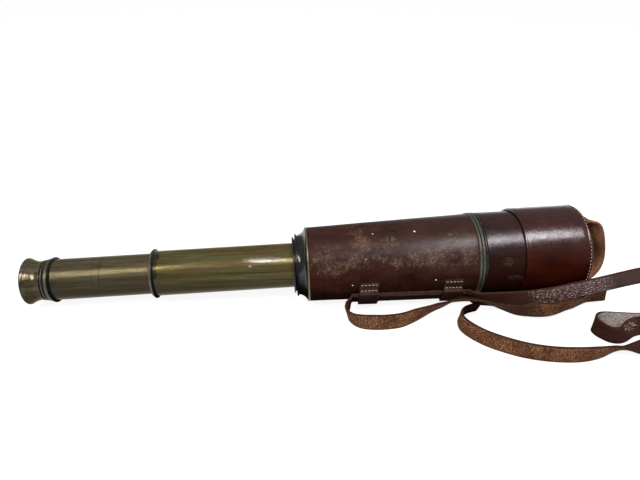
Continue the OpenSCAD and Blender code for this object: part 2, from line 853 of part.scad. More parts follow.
module shade_tube() {
    lip = 1;
    color("darkgoldenrod")
        lay()
            tube(shade_x, shade_end_x - lip, shade_tube_r, shade_bore_r);
}

module shade_leather() {
    color([0.22, 0.11, 0.09])
        lay()
            tube(shade_x + shade_ring_len, shade_end_x - shade_front_ring_len, shade_r, shade_tube_r);
}

module shade_front_ring() {
    lip = 1;
    edge = 0.3;
    ring_x = shade_end_x - shade_front_ring_len;
    color([0.45, 0.41, 0.25])
        lay()
            rotate_extrude()
                polygon([
                    [shade_tube_r, ring_x],
                    [shade_r, ring_x],
                    [shade_r, shade_end_x - edge],
                    [shade_r - edge, shade_end_x],
                    [shade_bore_r, shade_end_x],
                    [shade_bore_r, shade_end_x - lip],
                    [shade_tube_r, shade_end_x - lip]
                ]);
}

module cap_wall() {
    color([0.29, 0.13, 0.09])
        lay()
            rotate_extrude()
                polygon([
                    [cap_lining_r, cap_x],
                    [cap_r - cap_rim_bevel, cap_x],
                    [cap_r, cap_x + cap_rim_bevel],
                    [cap_r, cap_end_x - cap_end_t],
                    [cap_lining_r, cap_end_x - cap_end_t]
                ]);
}

module cap_lining() {
    set_back = 1;
    color([0.45, 0.30, 0.18])
        lay()
            tube(cap_x + set_back, cap_end_x - cap_end_t, cap_lining_r, cap_bore_r);
}

module cap_end() {
    steps = 8;
    edge = [
        for (i = [0 : steps])
            let (a = 90 * i / steps)
            [cap_r - cap_edge_r + cap_edge_r * cos(a), cap_end_x - cap_edge_r + cap_edge_r * sin(a)]
    ];
    color([0.30, 0.13, 0.09])
        lay()
            rotate_extrude()
                polygon(concat([[0, cap_end_x - cap_end_t], [cap_r, cap_end_x - cap_end_t]], edge,
                    [[0, cap_end_x]]));
}

// A finger loop of strap that stands out from the cap's end, both its ends held in the seam
module cap_pull_strap() {
    steps = 3;
    first = pull_strap_points[0];
    last = pull_strap_points[len(pull_strap_points) - 1];
    // The ends stand square on the cap's end
    bent = [for (i = [1 : len(pull_strap_points) - 2]) pull_strap_points[i]];
    path = [for (p = concat([first], spline(bent, steps), [last])) placed([cap_end_x + p[0], p[1], p[2]])];
    // The strap's width lies across the line from one end of the loop to the other
    run = unit([last[1] - first[1], last[2] - first[2]]);
    width_dir = turned([0, run[1], -run[0]]);
    color([0.34, 0.20, 0.13])
        ribbon(path, [for (p = path) width_dir], pull_strap_w, pull_strap_t);
}

barrel_tube();
barrel_leather();
barrel_end_bead();
barrel_collar();
collar_flanges();
barrel_slide_sleeve();
barrel_front_ring();
objective_cell();
crown_lens();
lens_spacer_ring();
flint_lens();
objective_retaining_ring();
barrel_baffle();
rear_keeper();
front_keeper();
sling_middle();
sling_rear();
sling_front();
large_draw_tube();
large_draw_collar();
large_draw_sleeve();
large_draw_stop_ring();
eye_draw_tube();
eyepiece_bead_ring();
eyepiece_grip_ring();
eyepiece_grey_ring();
eyecup();
eye_lens();
field_lens();
eyepiece_lens_tube();
field_stop();
erector_tube();
erector_lens_rear();
erector_lens_front();
erector_stop();
eye_draw_stop_ring();
shade_tube();
shade_leather();
shade_rear_ring();
shade_front_ring();
cap_wall();
cap_end();
cap_lining();
cap_pull_strap();
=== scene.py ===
import random
from math import atan, atan2, ceil, cos, degrees, exp, hypot, pi, radians, sin, sqrt

import bpy
import bmesh
from mathutils import Matrix, Vector


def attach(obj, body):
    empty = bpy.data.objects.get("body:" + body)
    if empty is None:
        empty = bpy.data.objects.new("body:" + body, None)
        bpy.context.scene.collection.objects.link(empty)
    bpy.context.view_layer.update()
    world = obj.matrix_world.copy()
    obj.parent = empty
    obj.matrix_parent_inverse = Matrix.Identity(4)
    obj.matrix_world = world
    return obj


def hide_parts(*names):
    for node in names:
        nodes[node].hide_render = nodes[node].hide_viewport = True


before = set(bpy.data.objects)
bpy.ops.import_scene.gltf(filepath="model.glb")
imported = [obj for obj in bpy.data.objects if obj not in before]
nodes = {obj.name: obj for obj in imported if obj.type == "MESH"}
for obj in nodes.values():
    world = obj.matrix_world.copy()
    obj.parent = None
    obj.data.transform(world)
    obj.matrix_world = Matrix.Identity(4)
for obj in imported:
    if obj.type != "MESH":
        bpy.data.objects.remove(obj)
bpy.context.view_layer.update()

MM = 0.001

# Driving sizes of the solids, in millimetres
FLANGE_T = 1.5
FLANGE_GROOVE = 0.9
FLANGE_RADII = (23.9, 26.6)
GROOVE_R = 22.3
COLLAR_LEN = 7.2
COLLAR_NECK_R = 25.4
COLLAR_WIDE_R = 31.2
COLLAR_HOLLOW_R = 9.0
COLLAR_BORE_R = 20.21
SPIGOT_LEN = 12.0
END_BEAD_W = 1.8
END_BEAD_R = 31.8
BARREL_WALL = 0.8
LEATHER_LEN = 138.3
LEATHER_T = 1.4
REAR_R = 31.5
FRONT_R = 35.34
NOSE_R = 33.94
RING_LEN = 2.3
RING_R = 36.2
SHADE_GAP = 0.4
SHADE_LEN = 87.6
SHADE_RING_LEN = 4.6
SHADE_FRONT_LEN = 3.0
SHADE_R = 35.9
SHADE_LEATHER_T = 1.2
CAP_LEN = 55.6
CAP_PAST_SHADE = 3.4
CAP_WALL = 1.4
CAP_R = 38.0
CAP_ROUND = 1.6
CAP_DISC_T = 3.0
SEAM = 2.15
LARGE_DRAW_OUT = 113.8
LARGE_DRAW_LEN = 203.0
LARGE_R = 18.95
LARGE_BORE_R = 18.25
DRAW_COLLAR_LEN = 4.0
DRAW_COLLAR_LIP = 1.0
DRAW_COLLAR_R = 19.5
DRAW_BEAD_W = 2.5
DRAW_BEAD_R = 20.85
SLIDING_FIT = 0.06
EYE_DRAW_OUT = 79.0
EYE_DRAW_LEN = 200.0
EYE_R = 17.05
EYE_BORE_R = 16.45
EYE_BEAD_W = 1.8
EYE_BEAD_R = 18.9
GRIP_W = 3.0
GRIP_R = 17.9
GREY_RING_W = 2.1
GREY_RING_R = 17.1
EYE_GROOVE_W = 0.9
NECK_R = 16.2
EYECUP_LEN = 14.4
WAIST_R = 16.3
RIM_R = 19.3
SIGHT_R = 6.5
LENS_TUBE_R = 13.8
KEEPER_LEN = 16.0
KEEPER_T = 1.4
KEEPER_ANGLE = 30.0
KEEPER_PAD = 17.0
KEEPER_LEAD = 3.0
KEEPERS = {"rear_keeper": 61.0, "front_keeper": 131.0}
STRAP_GAP = 0.3
SLING_W = 15.5
SLING_T = 2.0
PULL_W = 16.0
PULL_T = 2.2

# Places along the telescope, from the rear face of the barrel towards the front cap
COLLAR = 2 * FLANGE_T + FLANGE_GROOVE
END_BEAD = COLLAR + COLLAR_LEN
LEATHER = END_BEAD + END_BEAD_W
LEATHER_END = LEATHER + LEATHER_LEN
RING_END = LEATHER_END + RING_LEN
SHADE = RING_END + SHADE_GAP
SHADE_END = SHADE + SHADE_LEN
CAP_END = SHADE_END + CAP_PAST_SHADE
CAP = CAP_END - CAP_LEN
LARGE_DRAW = -LARGE_DRAW_OUT - DRAW_COLLAR_LEN
LARGE_END = LARGE_DRAW + LARGE_DRAW_LEN
EYE_DRAW = LARGE_DRAW - EYE_DRAW_OUT
EYE_END = EYE_DRAW + EYE_DRAW_LEN
GRIP = EYE_DRAW - EYE_BEAD_W - GRIP_W
GREY_RING = GRIP - EYE_GROOVE_W - GREY_RING_W
EYECUP = GREY_RING - EYE_GROOVE_W
EYECUP_END = EYECUP - EYECUP_LEN

# The telescope rests on its end bead and on the cap's rim. MIDDLE_X is the middle of its length
TILT = radians(1.99825)
AXIS_HEIGHT = 31.3622
MIDDLE_X = 21.6298


def placed(s, y, z):
    """A point given along, across and above the telescope's axis, in the row frame, in metres."""
    return Vector((
        s * cos(TILT) - z * sin(TILT) - MIDDLE_X,
        y,
        s * sin(TILT) + z * cos(TILT) + AXIS_HEIGHT,
    )) * MM


def turned(s, y, z):
    """A direction given along, across and above the telescope's axis."""
    return (placed(s, y, z) - placed(0, 0, 0)).normalized()


def on_round(s, r, angle):
    """A point at radius r; the angle is in degrees below the side that faces the viewer."""
    a = radians(angle)
    return placed(s, -r * cos(a), -r * sin(a))


def outward(angle):
    a = radians(angle)
    return turned(0, -cos(a), -sin(a))


def barrel_r(s):
    """Radius of the tapered barrel leather."""
    return REAR_R + (FRONT_R - REAR_R) * (s - LEATHER) / (LEATHER_END - LEATHER)


# Camera
def add_object(name, data):
    obj = bpy.data.objects.new(name, data)
    bpy.context.scene.collection.objects.link(obj)
    return obj


def make_camera():
    """The photograph's view, from above and to the left of the barrel."""
    place = Vector((-33.291, -372.633, 292.030)) * MM
    right = Vector((0.99651, -0.08175, 0.01667))
    up = Vector((0.02960, 0.53321, 0.84546))
    forward = Vector((0.07801, 0.84202, -0.53377))
    data = bpy.data.cameras.new("camera")
    data.sensor_width = 36.0
    data.lens = 29.72
    data.clip_start = 0.01
    cam = add_object("camera", data)
    turn = Matrix((right, up, -forward)).transposed().to_4x4()
    cam.matrix_world = Matrix.Translation(place) @ turn
    bpy.context.scene.camera = cam


make_camera()


# Routes of the sling's free stretches: x, y and z in metres, and the lean of the upper edge in degrees
REAR_ROUTE = [
    [0.024, -0.031, 0.0135, 20], [0.022, -0.035, 0.0105, 8], [0.022, -0.041, 0.0085, 0],
    [0.026, -0.0465, 0.0078, 0], [0.032, -0.0496, 0.0078, 0], [0.041, -0.0512, 0.0078, 0],
    [0.052, -0.0516, 0.0078, 0], [0.065, -0.05, 0.0079, 0], [0.077, -0.0455, 0.0086, -6],
    [0.092, -0.0425, 0.013, -30], [0.102, -0.044, 0.019, -48], [0.112, -0.046, 0.024, -58],
    [0.126, -0.0465, 0.023, -58], [0.143, -0.0465, 0.0175, -52], [0.1638, -0.047, 0.0098, -34],
    [0.1746, -0.048, 0.01, -18], [0.1858, -0.0489, 0.011, -8], [0.1946, -0.0492, 0.0125, -8],
    [0.2038, -0.0478, 0.013, -12], [0.2125, -0.045, 0.011, -18], [0.2197, -0.0398, 0.0094, -16],
    [0.2287, -0.0332, 0.00812, -14], [0.236, -0.0299, 0.00802, -14], [0.2439, -0.029, 0.00802, -14],
    [0.2498, -0.0298, 0.0094, -14],
]
FRONT_ROUTE = [
    [0.132, -0.0349, 0.0146, -14], [0.144, -0.0356, 0.0126, -6], [0.158, -0.0362, 0.0114, 4],
    [0.176, -0.0394, 0.0158, 8], [0.19, -0.043, 0.0215, 8], [0.204, -0.0446, 0.0264, 6],
    [0.215, -0.045, 0.0293, 5], [0.231, -0.0456, 0.0339, 4], [0.249, -0.0464, 0.0394, 4],
    [0.262, -0.0472, 0.0428, 4], [0.277, -0.047, 0.0425, 6], [0.291, -0.0485, 0.0375, 0],
    [0.299, -0.053, 0.03, 0], [0.297, -0.0595, 0.022, 0], [0.288, -0.0635, 0.0155, 0],
    [0.275, -0.0658, 0.011, 0], [0.261, -0.0642, 0.0074, -34], [0.246, -0.062, 0.00695, -38],
    [0.233, -0.0606, 0.00735, -32], [0.2256, -0.061, 0.008, -12], [0.2218, -0.0636, 0.00785, 0],
    [0.2212, -0.0676, 0.00785, 0], [0.223, -0.072, 0.00785, 0], [0.227, -0.077, 0.00785, 0],
    [0.2315, -0.079, 0.008, 6], [0.2365, -0.0784, 0.0081, 18], [0.241, -0.076, 0.0082, 28],
    [0.249, -0.0714, 0.0085, 32], [0.26, -0.0694, 0.0088, 28], [0.271, -0.0698, 0.0093, 12],
    [0.279, -0.072, 0.0091, 0], [0.283, -0.077, 0.0091, 0], [0.2814, -0.0816, 0.0082, 14],
    [0.274, -0.083, 0.0052, 58], [0.262, -0.0842, 0.0022, 84], [0.25, -0.0878, 0.0022, 82],
    [0.24, -0.0908, 0.0036, 70], [0.231, -0.092, 0.006, 52], [0.22, -0.0946, 0.00775, 24],
    [0.207, -0.097, 0.00785, 8], [0.191, -0.0978, 0.00785, 0], [0.173, -0.096, 0.00785, 0],
    [0.156, -0.0916, 0.00785, 0], [0.142, -0.0852, 0.00785, 0], [0.128, -0.0762, 0.00785, 0],
    [0.1185, -0.0665, 0.00785, 0], [0.1135, -0.0575, 0.00785, 0], [0.114, -0.0495, 0.00785, -4],
    [0.118, -0.0434, 0.0079, -14], [0.125, -0.0392, 0.0079, -22], [0.134, -0.0364, 0.0079, -22],
]
# The pull strap: beyond the cap's end, across and up in millimetres, and the turn of its side in degrees
PULL_ROUTE = (
    (0.1, -5, 31.8, 0), (2.5, -5, 31.8, 0), (6.1, -6.7, 31.3, 14), (9.6, -8.4, 29.6, 15),
    (11.9, -9.7, 25.8, 16), (14.1, -11.2, 18.8, 17), (16.5, -12.7, 8.3, 17), (17.2, -14.4, -1.7, 16),
    (14.6, -16.4, -10.2, 14), (8.4, -17.4, -18.2, 8), (2.5, -17, -22, 0), (0.1, -17, -22, 0),
)


def spline(points, steps):
    """A smooth curve through the points."""
    made = []
    n = len(points)
    for i in range(n - 1):
        a, b = points[max(i - 1, 0)], points[i]
        c, d = points[i + 1], points[min(i + 2, n - 1)]
        for k in range(steps + (i == n - 2)):
            t = k / steps
            made.append([
                0.5 * (2 * q + (r - p) * t + (2 * p - 5 * q + 4 * r - s) * t * t
                       + (3 * q - p - 3 * r + s) * t * t * t)
                for p, q, r, s in zip(a, b, c, d)
            ])
    return made


def along(path, i):
    """Direction of a path at its point i."""
    return (path[min(i + 1, len(path) - 1)] - path[max(i - 1, 0)]).normalized()


def leaning(direction, lean):
    """The upward direction of a strap that runs in direction and leans to its left."""
    a = radians(lean)
    left = Vector((0, 0, 1)).cross(direction).normalized()
    return direction.cross(left) * cos(a) + left * sin(a)


def strap_on_barrel(s):
    return on_round(s, barrel_r(s) + STRAP_GAP + SLING_T / 2, KEEPER_ANGLE)


STRAP_REAR = strap_on_barrel(KEEPERS["rear_keeper"] - KEEPER_LEN / 2 - KEEPER_LEAD)
STRAP_FRONT = strap_on_barrel(KEEPERS["front_keeper"] + KEEPER_LEN / 2 + KEEPER_LEAD)
STRAP_DIR = (STRAP_FRONT - STRAP_REAR).normalized()
STRAP_UP = turned(0, -sin(radians(KEEPER_ANGLE)), cos(radians(KEEPER_ANGLE)))


# Materials
class Look:
    """A node material; each method returns a socket."""

    def __init__(self, name):
        self.mat = bpy.data.materials.new(name)
        self.mat.use_nodes = True
        self.tree = self.mat.node_tree
        self.tree.nodes.clear()
        self.shader = self.add("ShaderNodeBsdfPrincipled")
        self.add("ShaderNodeOutputMaterial", {"Surface": self.shader.outputs["BSDF"]})
        self.place = self.add("ShaderNodeTexCoord").outputs["Object"]
        self.normal = None

    def add(self, kind, inputs=None, **settings):
        node = self.tree.nodes.new(kind)
        for key, value in settings.items():
            setattr(node, key, value)
        for key, source in (inputs or {}).items():
            self.join(source, node.inputs[key])
        return node

    def join(self, source, socket):
        if isinstance(source, bpy.types.NodeSocket):
            self.tree.links.new(source, socket)
        elif isinstance(source, (tuple, list)) and len(source) == 3 and socket.type == "RGBA":
            socket.default_value = (*source, 1.0)
        else:
            socket.default_value = source

    def put(self, **values):
        """Sets or links the shader's own sockets."""
        for key, value in values.items():
            self.join(value, self.shader.inputs[key.replace("_", " ")])

    def mapped(self, size, stretch, seed):
        scale = [1 / (size * MM * k) for k in stretch]
        shift = (seed * 7.31, seed * 3.17, seed * 5.73)
        node = self.add("ShaderNodeMapping", {"Vector": self.place, "Scale": scale, "Location": shift})
        return node.outputs["Vector"]

    def noise(self, size, stretch=(1, 1, 1), detail=4.0, rough=0.55, bend=0.0, seed=0):
        """Cloudy noise whose clouds are size millimetres across."""
        inputs = {"Vector": self.mapped(size, stretch, seed), "Scale": 1.0}
        inputs.update({"Detail": detail, "Roughness": rough, "Distortion": bend})
        return self.add("ShaderNodeTexNoise", inputs).outputs["Fac"]

    def cells(self, size, stretch=(1, 1, 1), seed=0):
        """Distance from the borders of cells that are size millimetres across."""
        inputs = {"Vector": self.mapped(size, stretch, seed), "Scale": 1.0}
        return self.add("ShaderNodeTexVoronoi", inputs, feature="DISTANCE_TO_EDGE").outputs["Distance"]

    def ramp(self, fac, *stops):
        """Colours or values between stops of (place, value)."""
        node = self.add("ShaderNodeValToRGB", {"Fac": fac})
        points = node.color_ramp.elements
        while len(points) < len(stops):
            points.new(0.5)
        for point, (at, value) in zip(points, stops):
            point.position = at
            point.color = (*value, 1) if isinstance(value, tuple) else (value, value, value, 1)
        return node.outputs["Color"]

    def patches(self, low, high, *noise, most=1.0):
        """Patches of a noise: 0 where it is below low, most where it is above high."""
        return self.ramp(self.noise(*noise), (low, 0.0), (high, most))

    def mix(self, fac, a, b, way="MIX"):
        return self.add("ShaderNodeMix", {0: fac, 6: a, 7: b}, data_type="RGBA", blend_type=way).outputs[2]

    def math(self, way, a, b, c=0.0, clamp=False):
        return self.add("ShaderNodeMath", {0: a, 1: b, 2: c}, operation=way, use_clamp=clamp).outputs[0]

    def times(self, a, b):
        return self.math("MULTIPLY", a, b)

    def larger(self, a, b):
        return self.math("MAXIMUM", a, b)

    def part(self, axis):
        """The place along one axis of the row frame, in metres."""
        return self.add("ShaderNodeSeparateXYZ", {0: self.place}).outputs[axis]

    def between(self, value, low, high):
        """0 below low, 1 above high."""
        inputs = {"Value": value, "From Min": low, "From Max": high}
        return self.add("ShaderNodeMapRange", inputs, interpolation_type="SMOOTHSTEP").outputs["Result"]

    def spot(self, centre, size, ragged=0.35):
        """1 within a blot round centre, a point in the row frame; size is its reach in millimetres."""
        shift = self.add("ShaderNodeVectorMath", {0: self.place, 1: centre}, operation="SUBTRACT")
        reach = [k * MM for k in size]
        shape = self.add("ShaderNodeVectorMath", {0: shift.outputs[0], 1: reach}, operation="DIVIDE")
        far = self.add("ShaderNodeVectorMath", {0: shape.outputs[0]}, operation="LENGTH").outputs["Value"]
        edge = self.math("MULTIPLY_ADD", self.noise(2.5, detail=3, seed=9), 2 * ragged, -ragged)
        return self.between(self.math("ADD", far, edge), 1.0, 0.75)

    def bump(self, height, depth, strength):
        """Relief from height; depth is in millimetres."""
        inputs = {"Height": height, "Distance": depth * MM, "Strength": strength}
        if self.normal is not None:
            inputs["Normal"] = self.normal
        self.normal = self.add("ShaderNodeBump", inputs).outputs["Normal"]
        self.put(Normal=self.normal)


def brass(name, dark, mid, pale, shine=0.33, seed=0, metal=0.5, brown=0.8, marks=()):
    """Tarnished brass with streaks along the tube, painted shade towards the bottom, and at the marks dark
    stains and painted highlights.
    """
    m = Look(name)
    streaks = m.noise(2.3, (26, 1, 1), 6, 0.66, 0.2, seed)
    lines = m.noise(0.8, (50, 1, 1), 3, 0.6, 0.0, seed + 2)
    colour = m.ramp(streaks, (0.32, dark), (0.49, mid), (0.68, pale))
    browned = m.patches(0.46, 0.62, 12.0, (5, 1, 1), 4, 0.6, 0.4, seed + 1, most=brown)
    colour = m.mix(browned, colour, (mid[0] * 1.1, mid[1] * 0.84, mid[2] * 0.85))
    drawn = m.ramp(lines, (0.34, 0.8), (0.44, 0.0))
    colour = m.mix(drawn, colour, (dark[0] * 0.45, dark[1] * 0.4, dark[2] * 0.45))
    # Painted shade: the colour darkens steeply towards the bottom of each tube
    height = m.between(m.part(2), 0.01, 0.046)
    painted_shade_by_height = m.ramp(height, (0.0, 0.08), (0.05, 0.11), (0.26, 0.25), (0.58, 0.46), (0.86, 0.8), (1.0, 1.0))
    colour = m.mix(1.0, colour, painted_shade_by_height, "MULTIPLY")
    for centre, size, tint, strength in marks:
        colour = m.mix(m.times(m.spot(centre, size), strength), colour, tint)
    m.put(Base_Color=colour, Metallic=metal)
    m.put(Roughness=m.ramp(m.noise(6.0, (5, 1, 1), 4, 0.6, 0, seed + 3), (0.3, shine), (0.7, shine + 0.12)))
    m.put(Specular_IOR_Level=0.2, Specular_Tint=(0.75, 0.66, 0.48))
    m.bump(lines, 0.015, 0.5)
    return m.mat


def leather(name, dark, light, worn, wear, shine, grain=0.9, grain_depth=0.05, seed=0, cover=None,
            gloss=0.5, dull=0.0, lit=(0.036, 0.06)):
    """Polished leather with pores, scratches and paler worn patches. cover says where the patches
    lie, dull is the roughness of the handled rear end."""
    m = Look(name)
    clouds = m.noise(16.0, (1.8, 1, 1), 5, 0.62, 0.3, seed)
    colour = m.ramp(clouds, (0.32, dark), (0.68, light))

    patches = m.patches(0.44, 0.6, 11.0, (1.3, 1, 1), 8, 0.8, 0.2, seed + 1)
    flecks = m.ramp(m.noise(1.5, (1.2, 1, 1), 6, 0.85, 0.2, seed + 2), (0.44, 0.05), (0.58, 1.0))
    if cover is not None:
        patches = m.times(patches, cover(m))
    worn_off = m.times(m.times(patches, flecks), wear)

    scratches = m.patches(0.7, 0.74, 0.55, (7, 1, 1), 3, 0.6, 0.8, seed + 3, most=0.7)
    scratches = m.times(scratches, m.patches(0.5, 0.6, 14.0, (1.5, 1, 1), 3, 0.5, 0.2, seed + 6))
    nicks = m.patches(0.72, 0.76, 0.7, (1, 1, 2.2), 2, 0.5, 1.2, seed + 7, most=0.8)
    nicks = m.times(nicks, m.patches(0.52, 0.6, 10.0, (1, 1, 1), 3, 0.5, 0.2, seed + 8))
    marks = m.times(m.larger(scratches, nicks), min(1.0, wear + 0.25))
    m.put(Base_Color=m.mix(m.larger(worn_off, marks), colour, worn))

    sheen = m.ramp(m.between(m.part(2), *lit), (0.0, 0.0), (1.0, gloss))
    if dull:
        sheen = m.times(sheen, m.ramp(m.between(m.part(0), 0.03, 0.13), (0.0, 0.5), (1.0, 1.0)))
    mottle = m.ramp(m.noise(2.6, (1.8, 1, 1), 5, 0.75, 0.3, seed + 10), (0.36, 0.68), (0.62, 1.0))
    m.put(Specular_IOR_Level=m.times(sheen, mottle))
    smears = m.noise(5.0, (1.5, 1, 1), 5, 0.65, 0.3, seed + 4)
    rough = m.ramp(smears, (0.3, shine - 0.05), (0.7, shine + 0.1))
    if dull:
        rough = m.mix(m.between(m.part(0), 0.115, 0.03), rough, (dull, dull, dull))
    m.put(Roughness=m.mix(worn_off, rough, (0.66, 0.66, 0.66)))

    m.bump(m.noise(9.0, (1.3, 1, 1), 3, 0.5, 0, seed + 5), 0.3, 0.35)
    m.bump(m.noise(1.8, (1.3, 1, 1), 4, 0.7, 0.4, seed + 9), 0.07, 0.6)
    m.bump(m.cells(grain, seed=seed), grain_depth, 0.5)
    m.bump(worn_off, 0.05, -0.5)
    return m.mat


def hide_flesh(name, dark, mid, pale, seed=0, bleached=None, painted_shadow=None):
    """The rough inner side of strap leather, speckled where fibres stand up. bleached is the place and
    reach of a part that has gone pale grey, painted_shadow of a part darkened as painted shadow."""
    m = Look(name)
    clouds = m.noise(17.0, (1, 1, 1), 4, 0.6, 0.4, seed)
    fibres = m.noise(0.9, (1, 1, 1), 4, 0.7, 0.6, seed + 1)
    base = m.ramp(clouds, (0.3, dark), (0.62, mid))
    specks = m.times(m.ramp(fibres, (0.53, 0.0), (0.62, 1.0)), m.ramp(clouds, (0.34, 0.35), (0.6, 1.0)))
    shade = m.ramp(m.noise(1.6, (1, 1, 1), 3, 0.6, 0.5, seed + 2), (0.36, 0.55), (0.6, 1.0))
    colour = m.mix(specks, m.mix(1.0, base, shade, "MULTIPLY"), pale)
    # Painted shadow: darkened where the front stretch shades the rear stretch
    if painted_shadow:
        colour = m.mix(m.times(m.spot(*painted_shadow), 0.7), colour, (0.02, 0.008, 0.005))
    if bleached:
        grey = m.ramp(fibres, (0.38, (0.045, 0.035, 0.032)), (0.56, (0.36, 0.32, 0.3)))
        colour = m.mix(m.spot(*bleached), colour, grey)
    m.put(Base_Color=colour, Roughness=0.78, Specular_IOR_Level=0.1)
    m.bump(fibres, 0.18, 0.6)
    return m.mat


def add_creases_and_glints(m, colour, seed):
    """Pale creases where the strap has been bent sharply, lightened further as painted glints, and a rubbed
    place at the curl.
    """
    glint_and_crease_place = m.spot((0.205, -0.044, 0.03), (38, 18, 24), 0.3)
    creases = m.ramp(m.cells(2.3, (1.25, 1.0, 0.8), seed + 3), (0.05, 0.0), (0.36, 1.0))
    ridges = m.times(creases, glint_and_crease_place)
    m.bump(ridges, 0.6, 1.0)
    # The ridges are lightened partly for the cracked grain's own paleness and partly as painted glints
    colour = m.mix(m.times(ridges, 0.8), colour, (0.48, 0.35, 0.335))
    flecks = m.patches(0.54, 0.6, 1.4, (2.2, 1, 1), 3, 0.6, 1.0, seed + 5, most=0.8)
    rubbed = m.times(flecks, m.spot((0.247, -0.074, 0.012), (11, 9, 6)))
    m.put(Base_Color=m.mix(rubbed, colour, (0.42, 0.3, 0.24)))


def hide_grain(name, dark, light, seed=0, crackle_and_glints=False):
    """The smooth outer side of strap leather."""
    m = Look(name)
    clouds = m.noise(20.0, (1, 1, 1), 4, 0.6, 0.3, seed)
    colour = m.ramp(clouds, (0.3, dark), (0.7, light))
    scuffs = m.patches(0.62, 0.74, 1.2, (1.5, 1, 1), 4, 0.75, 0.6, seed + 1, most=0.6)
    scuffed = m.times(scuffs, m.ramp(clouds, (0.5, 0.0), (0.62, 1.0)))
    colour = m.mix(scuffed, colour, (0.17, 0.09, 0.06))
    m.put(Base_Color=colour)
    m.put(Specular_IOR_Level=m.ramp(m.between(m.part(2), 0.018, 0.032), (0.0, 0.0), (1.0, 0.35)))
    m.put(Roughness=m.ramp(m.noise(4.0, (1, 1, 1), 4, 0.6, 0, seed + 2), (0.3, 0.34), (0.7, 0.5)))
    m.bump(m.cells(1.1, (1, 1, 1), seed), 0.1, 0.5)
    if crackle_and_glints:
        add_creases_and_glints(m, colour, seed)
    return m.mat


def plain(name, colour, rough, metal=0.0, vary=0.25, size=3.0, seed=0, depth=0.02, fleck=None, gloss=0.25,
          lit=None):
    """Paint or dull metal, a little uneven. Below the heights in lit it loses its gloss and is darkened as
    painted shade.
    """
    m = Look(name)
    clouds = m.noise(size, (1, 1, 1), 5, 0.6, 0.3, seed)
    low = tuple(c * (1 - vary) for c in colour)
    high = tuple(min(1.0, c * (1 + vary)) for c in colour)
    made = m.ramp(clouds, (0.3, low), (0.7, high))
    if fleck:
        spots = m.patches(0.6, 0.7, size * 0.7, (1, 1, 1), 5, 0.7, 0.5, seed + 1, most=0.8)
        made = m.mix(spots, made, fleck)
    if lit:
        gloss = m.ramp(m.between(m.part(2), *lit), (0.0, 0.0), (1.0, gloss))
        # Painted shade: the colour falls to 0.6 below the heights in lit
        made = m.mix(1.0, made, m.ramp(m.between(m.part(2), *lit), (0.0, 0.6), (1.0, 1.0)), "MULTIPLY")
    m.put(Base_Color=made, Metallic=metal, Specular_IOR_Level=gloss)
    m.put(Roughness=m.ramp(clouds, (0.3, max(0.05, rough - 0.06)), (0.7, rough + 0.08)))
    m.bump(clouds, depth, 0.4)
    return m.mat


def lens_glass(name):
    """Clear glass with a trace of haze."""
    m = Look(name)
    haze = m.noise(4.0, seed=3)
    m.put(Base_Color=m.ramp(haze, (0.3, (0.9, 0.96, 0.95)), (0.7, (0.96, 0.99, 0.98))))
    m.put(Roughness=m.ramp(haze, (0.4, 0.02), (0.7, 0.05)))
    m.put(Transmission_Weight=1.0, IOR=1.52)
    return m.mat


# Where the barrel leather is worn: along the telescope, degrees below the side, and reach
BARREL_WEAR = (
    (55, -56, (12, 40, 6)), (50, -33, (14, 40, 8)), (78, -44, (18, 40, 8)),
    (90, -30, (15, 40, 7)), (114, -32, (15, 40, 9)), (135, -38, (16, 40, 11)),
)


def barrel_cover(m):
    """Wear lies in a few places on the upper part of the side, where hands rub."""
    worn = m.spot(on_round(29, 33, -31), (16, 40, 12), 0.9)
    for s, angle, reach in BARREL_WEAR:
        worn = m.larger(worn, m.spot(on_round(s, 34, angle), reach, 0.9))
    return m.math("ADD", m.times(worn, 0.9), 0.12, clamp=True)


def shade_cover(m):
    """A few scuffs on the shade's side."""
    low = m.spot(on_round(174, 34, -22), (6, 40, 4), 0.6)
    high = m.spot(on_round(182, 34, 4), (8, 40, 4), 0.6)
    return m.larger(low, high)


# Metals and paints. Where lit is given, the colour is darkened below those heights as painted shade
DARK_FLECK = (0.07, 0.055, 0.03)
BLUE_GREY = (0.03, 0.033, 0.036)
SOOT = (0.018, 0.018, 0.015)
BLACK = plain(
    "blackened_brass", (0.016, 0.019, 0.018), rough=0.25, vary=0.35, size=4.0, seed=1, depth=0.015,
    fleck=DARK_FLECK, gloss=0.3, lit=(0.034, 0.052),
)
GLOSS_BLACK = plain(
    "gloss_black", (0.012, 0.014, 0.013), rough=0.14, vary=0.3, size=5.0, seed=97, gloss=0.5,
    lit=(0.026, 0.042),
)
DULL_BLACK = plain("optical_black", (0.01, 0.01, 0.01), rough=0.75, vary=0.3, size=1.5, seed=2, depth=0.04)
GREEN_BRASS = plain(
    "green_tarnish", (0.12, 0.112, 0.072), rough=0.36, metal=0.4, vary=0.5, size=1.6, seed=4,
    fleck=(0.11, 0.1, 0.06), lit=(0.012, 0.036),
)
RIDGE_BRASS = plain(
    "ridge_brass", (0.1, 0.094, 0.076), rough=0.38, metal=0.4, vary=0.5, size=1.3, seed=83, depth=0.03,
    fleck=(0.03, 0.032, 0.024), lit=(0.012, 0.05),
)
GRIP_BRASS = plain(
    "grip_ring_brass", (0.105, 0.095, 0.055), rough=0.36, metal=0.45, vary=0.35, size=1.2, seed=79,
    fleck=(0.09, 0.08, 0.05),
)
BEAD_BRASS = plain(
    "bead_brass", (0.17, 0.14, 0.072), rough=0.34, metal=0.6, vary=0.3, size=1.8, seed=5, fleck=DARK_FLECK,
)
PURPLE = plain(
    "purple_tarnish", (0.038, 0.028, 0.032), rough=0.3, metal=0.4, vary=0.4, size=2.0, seed=89,
    fleck=(0.11, 0.08, 0.06),
)
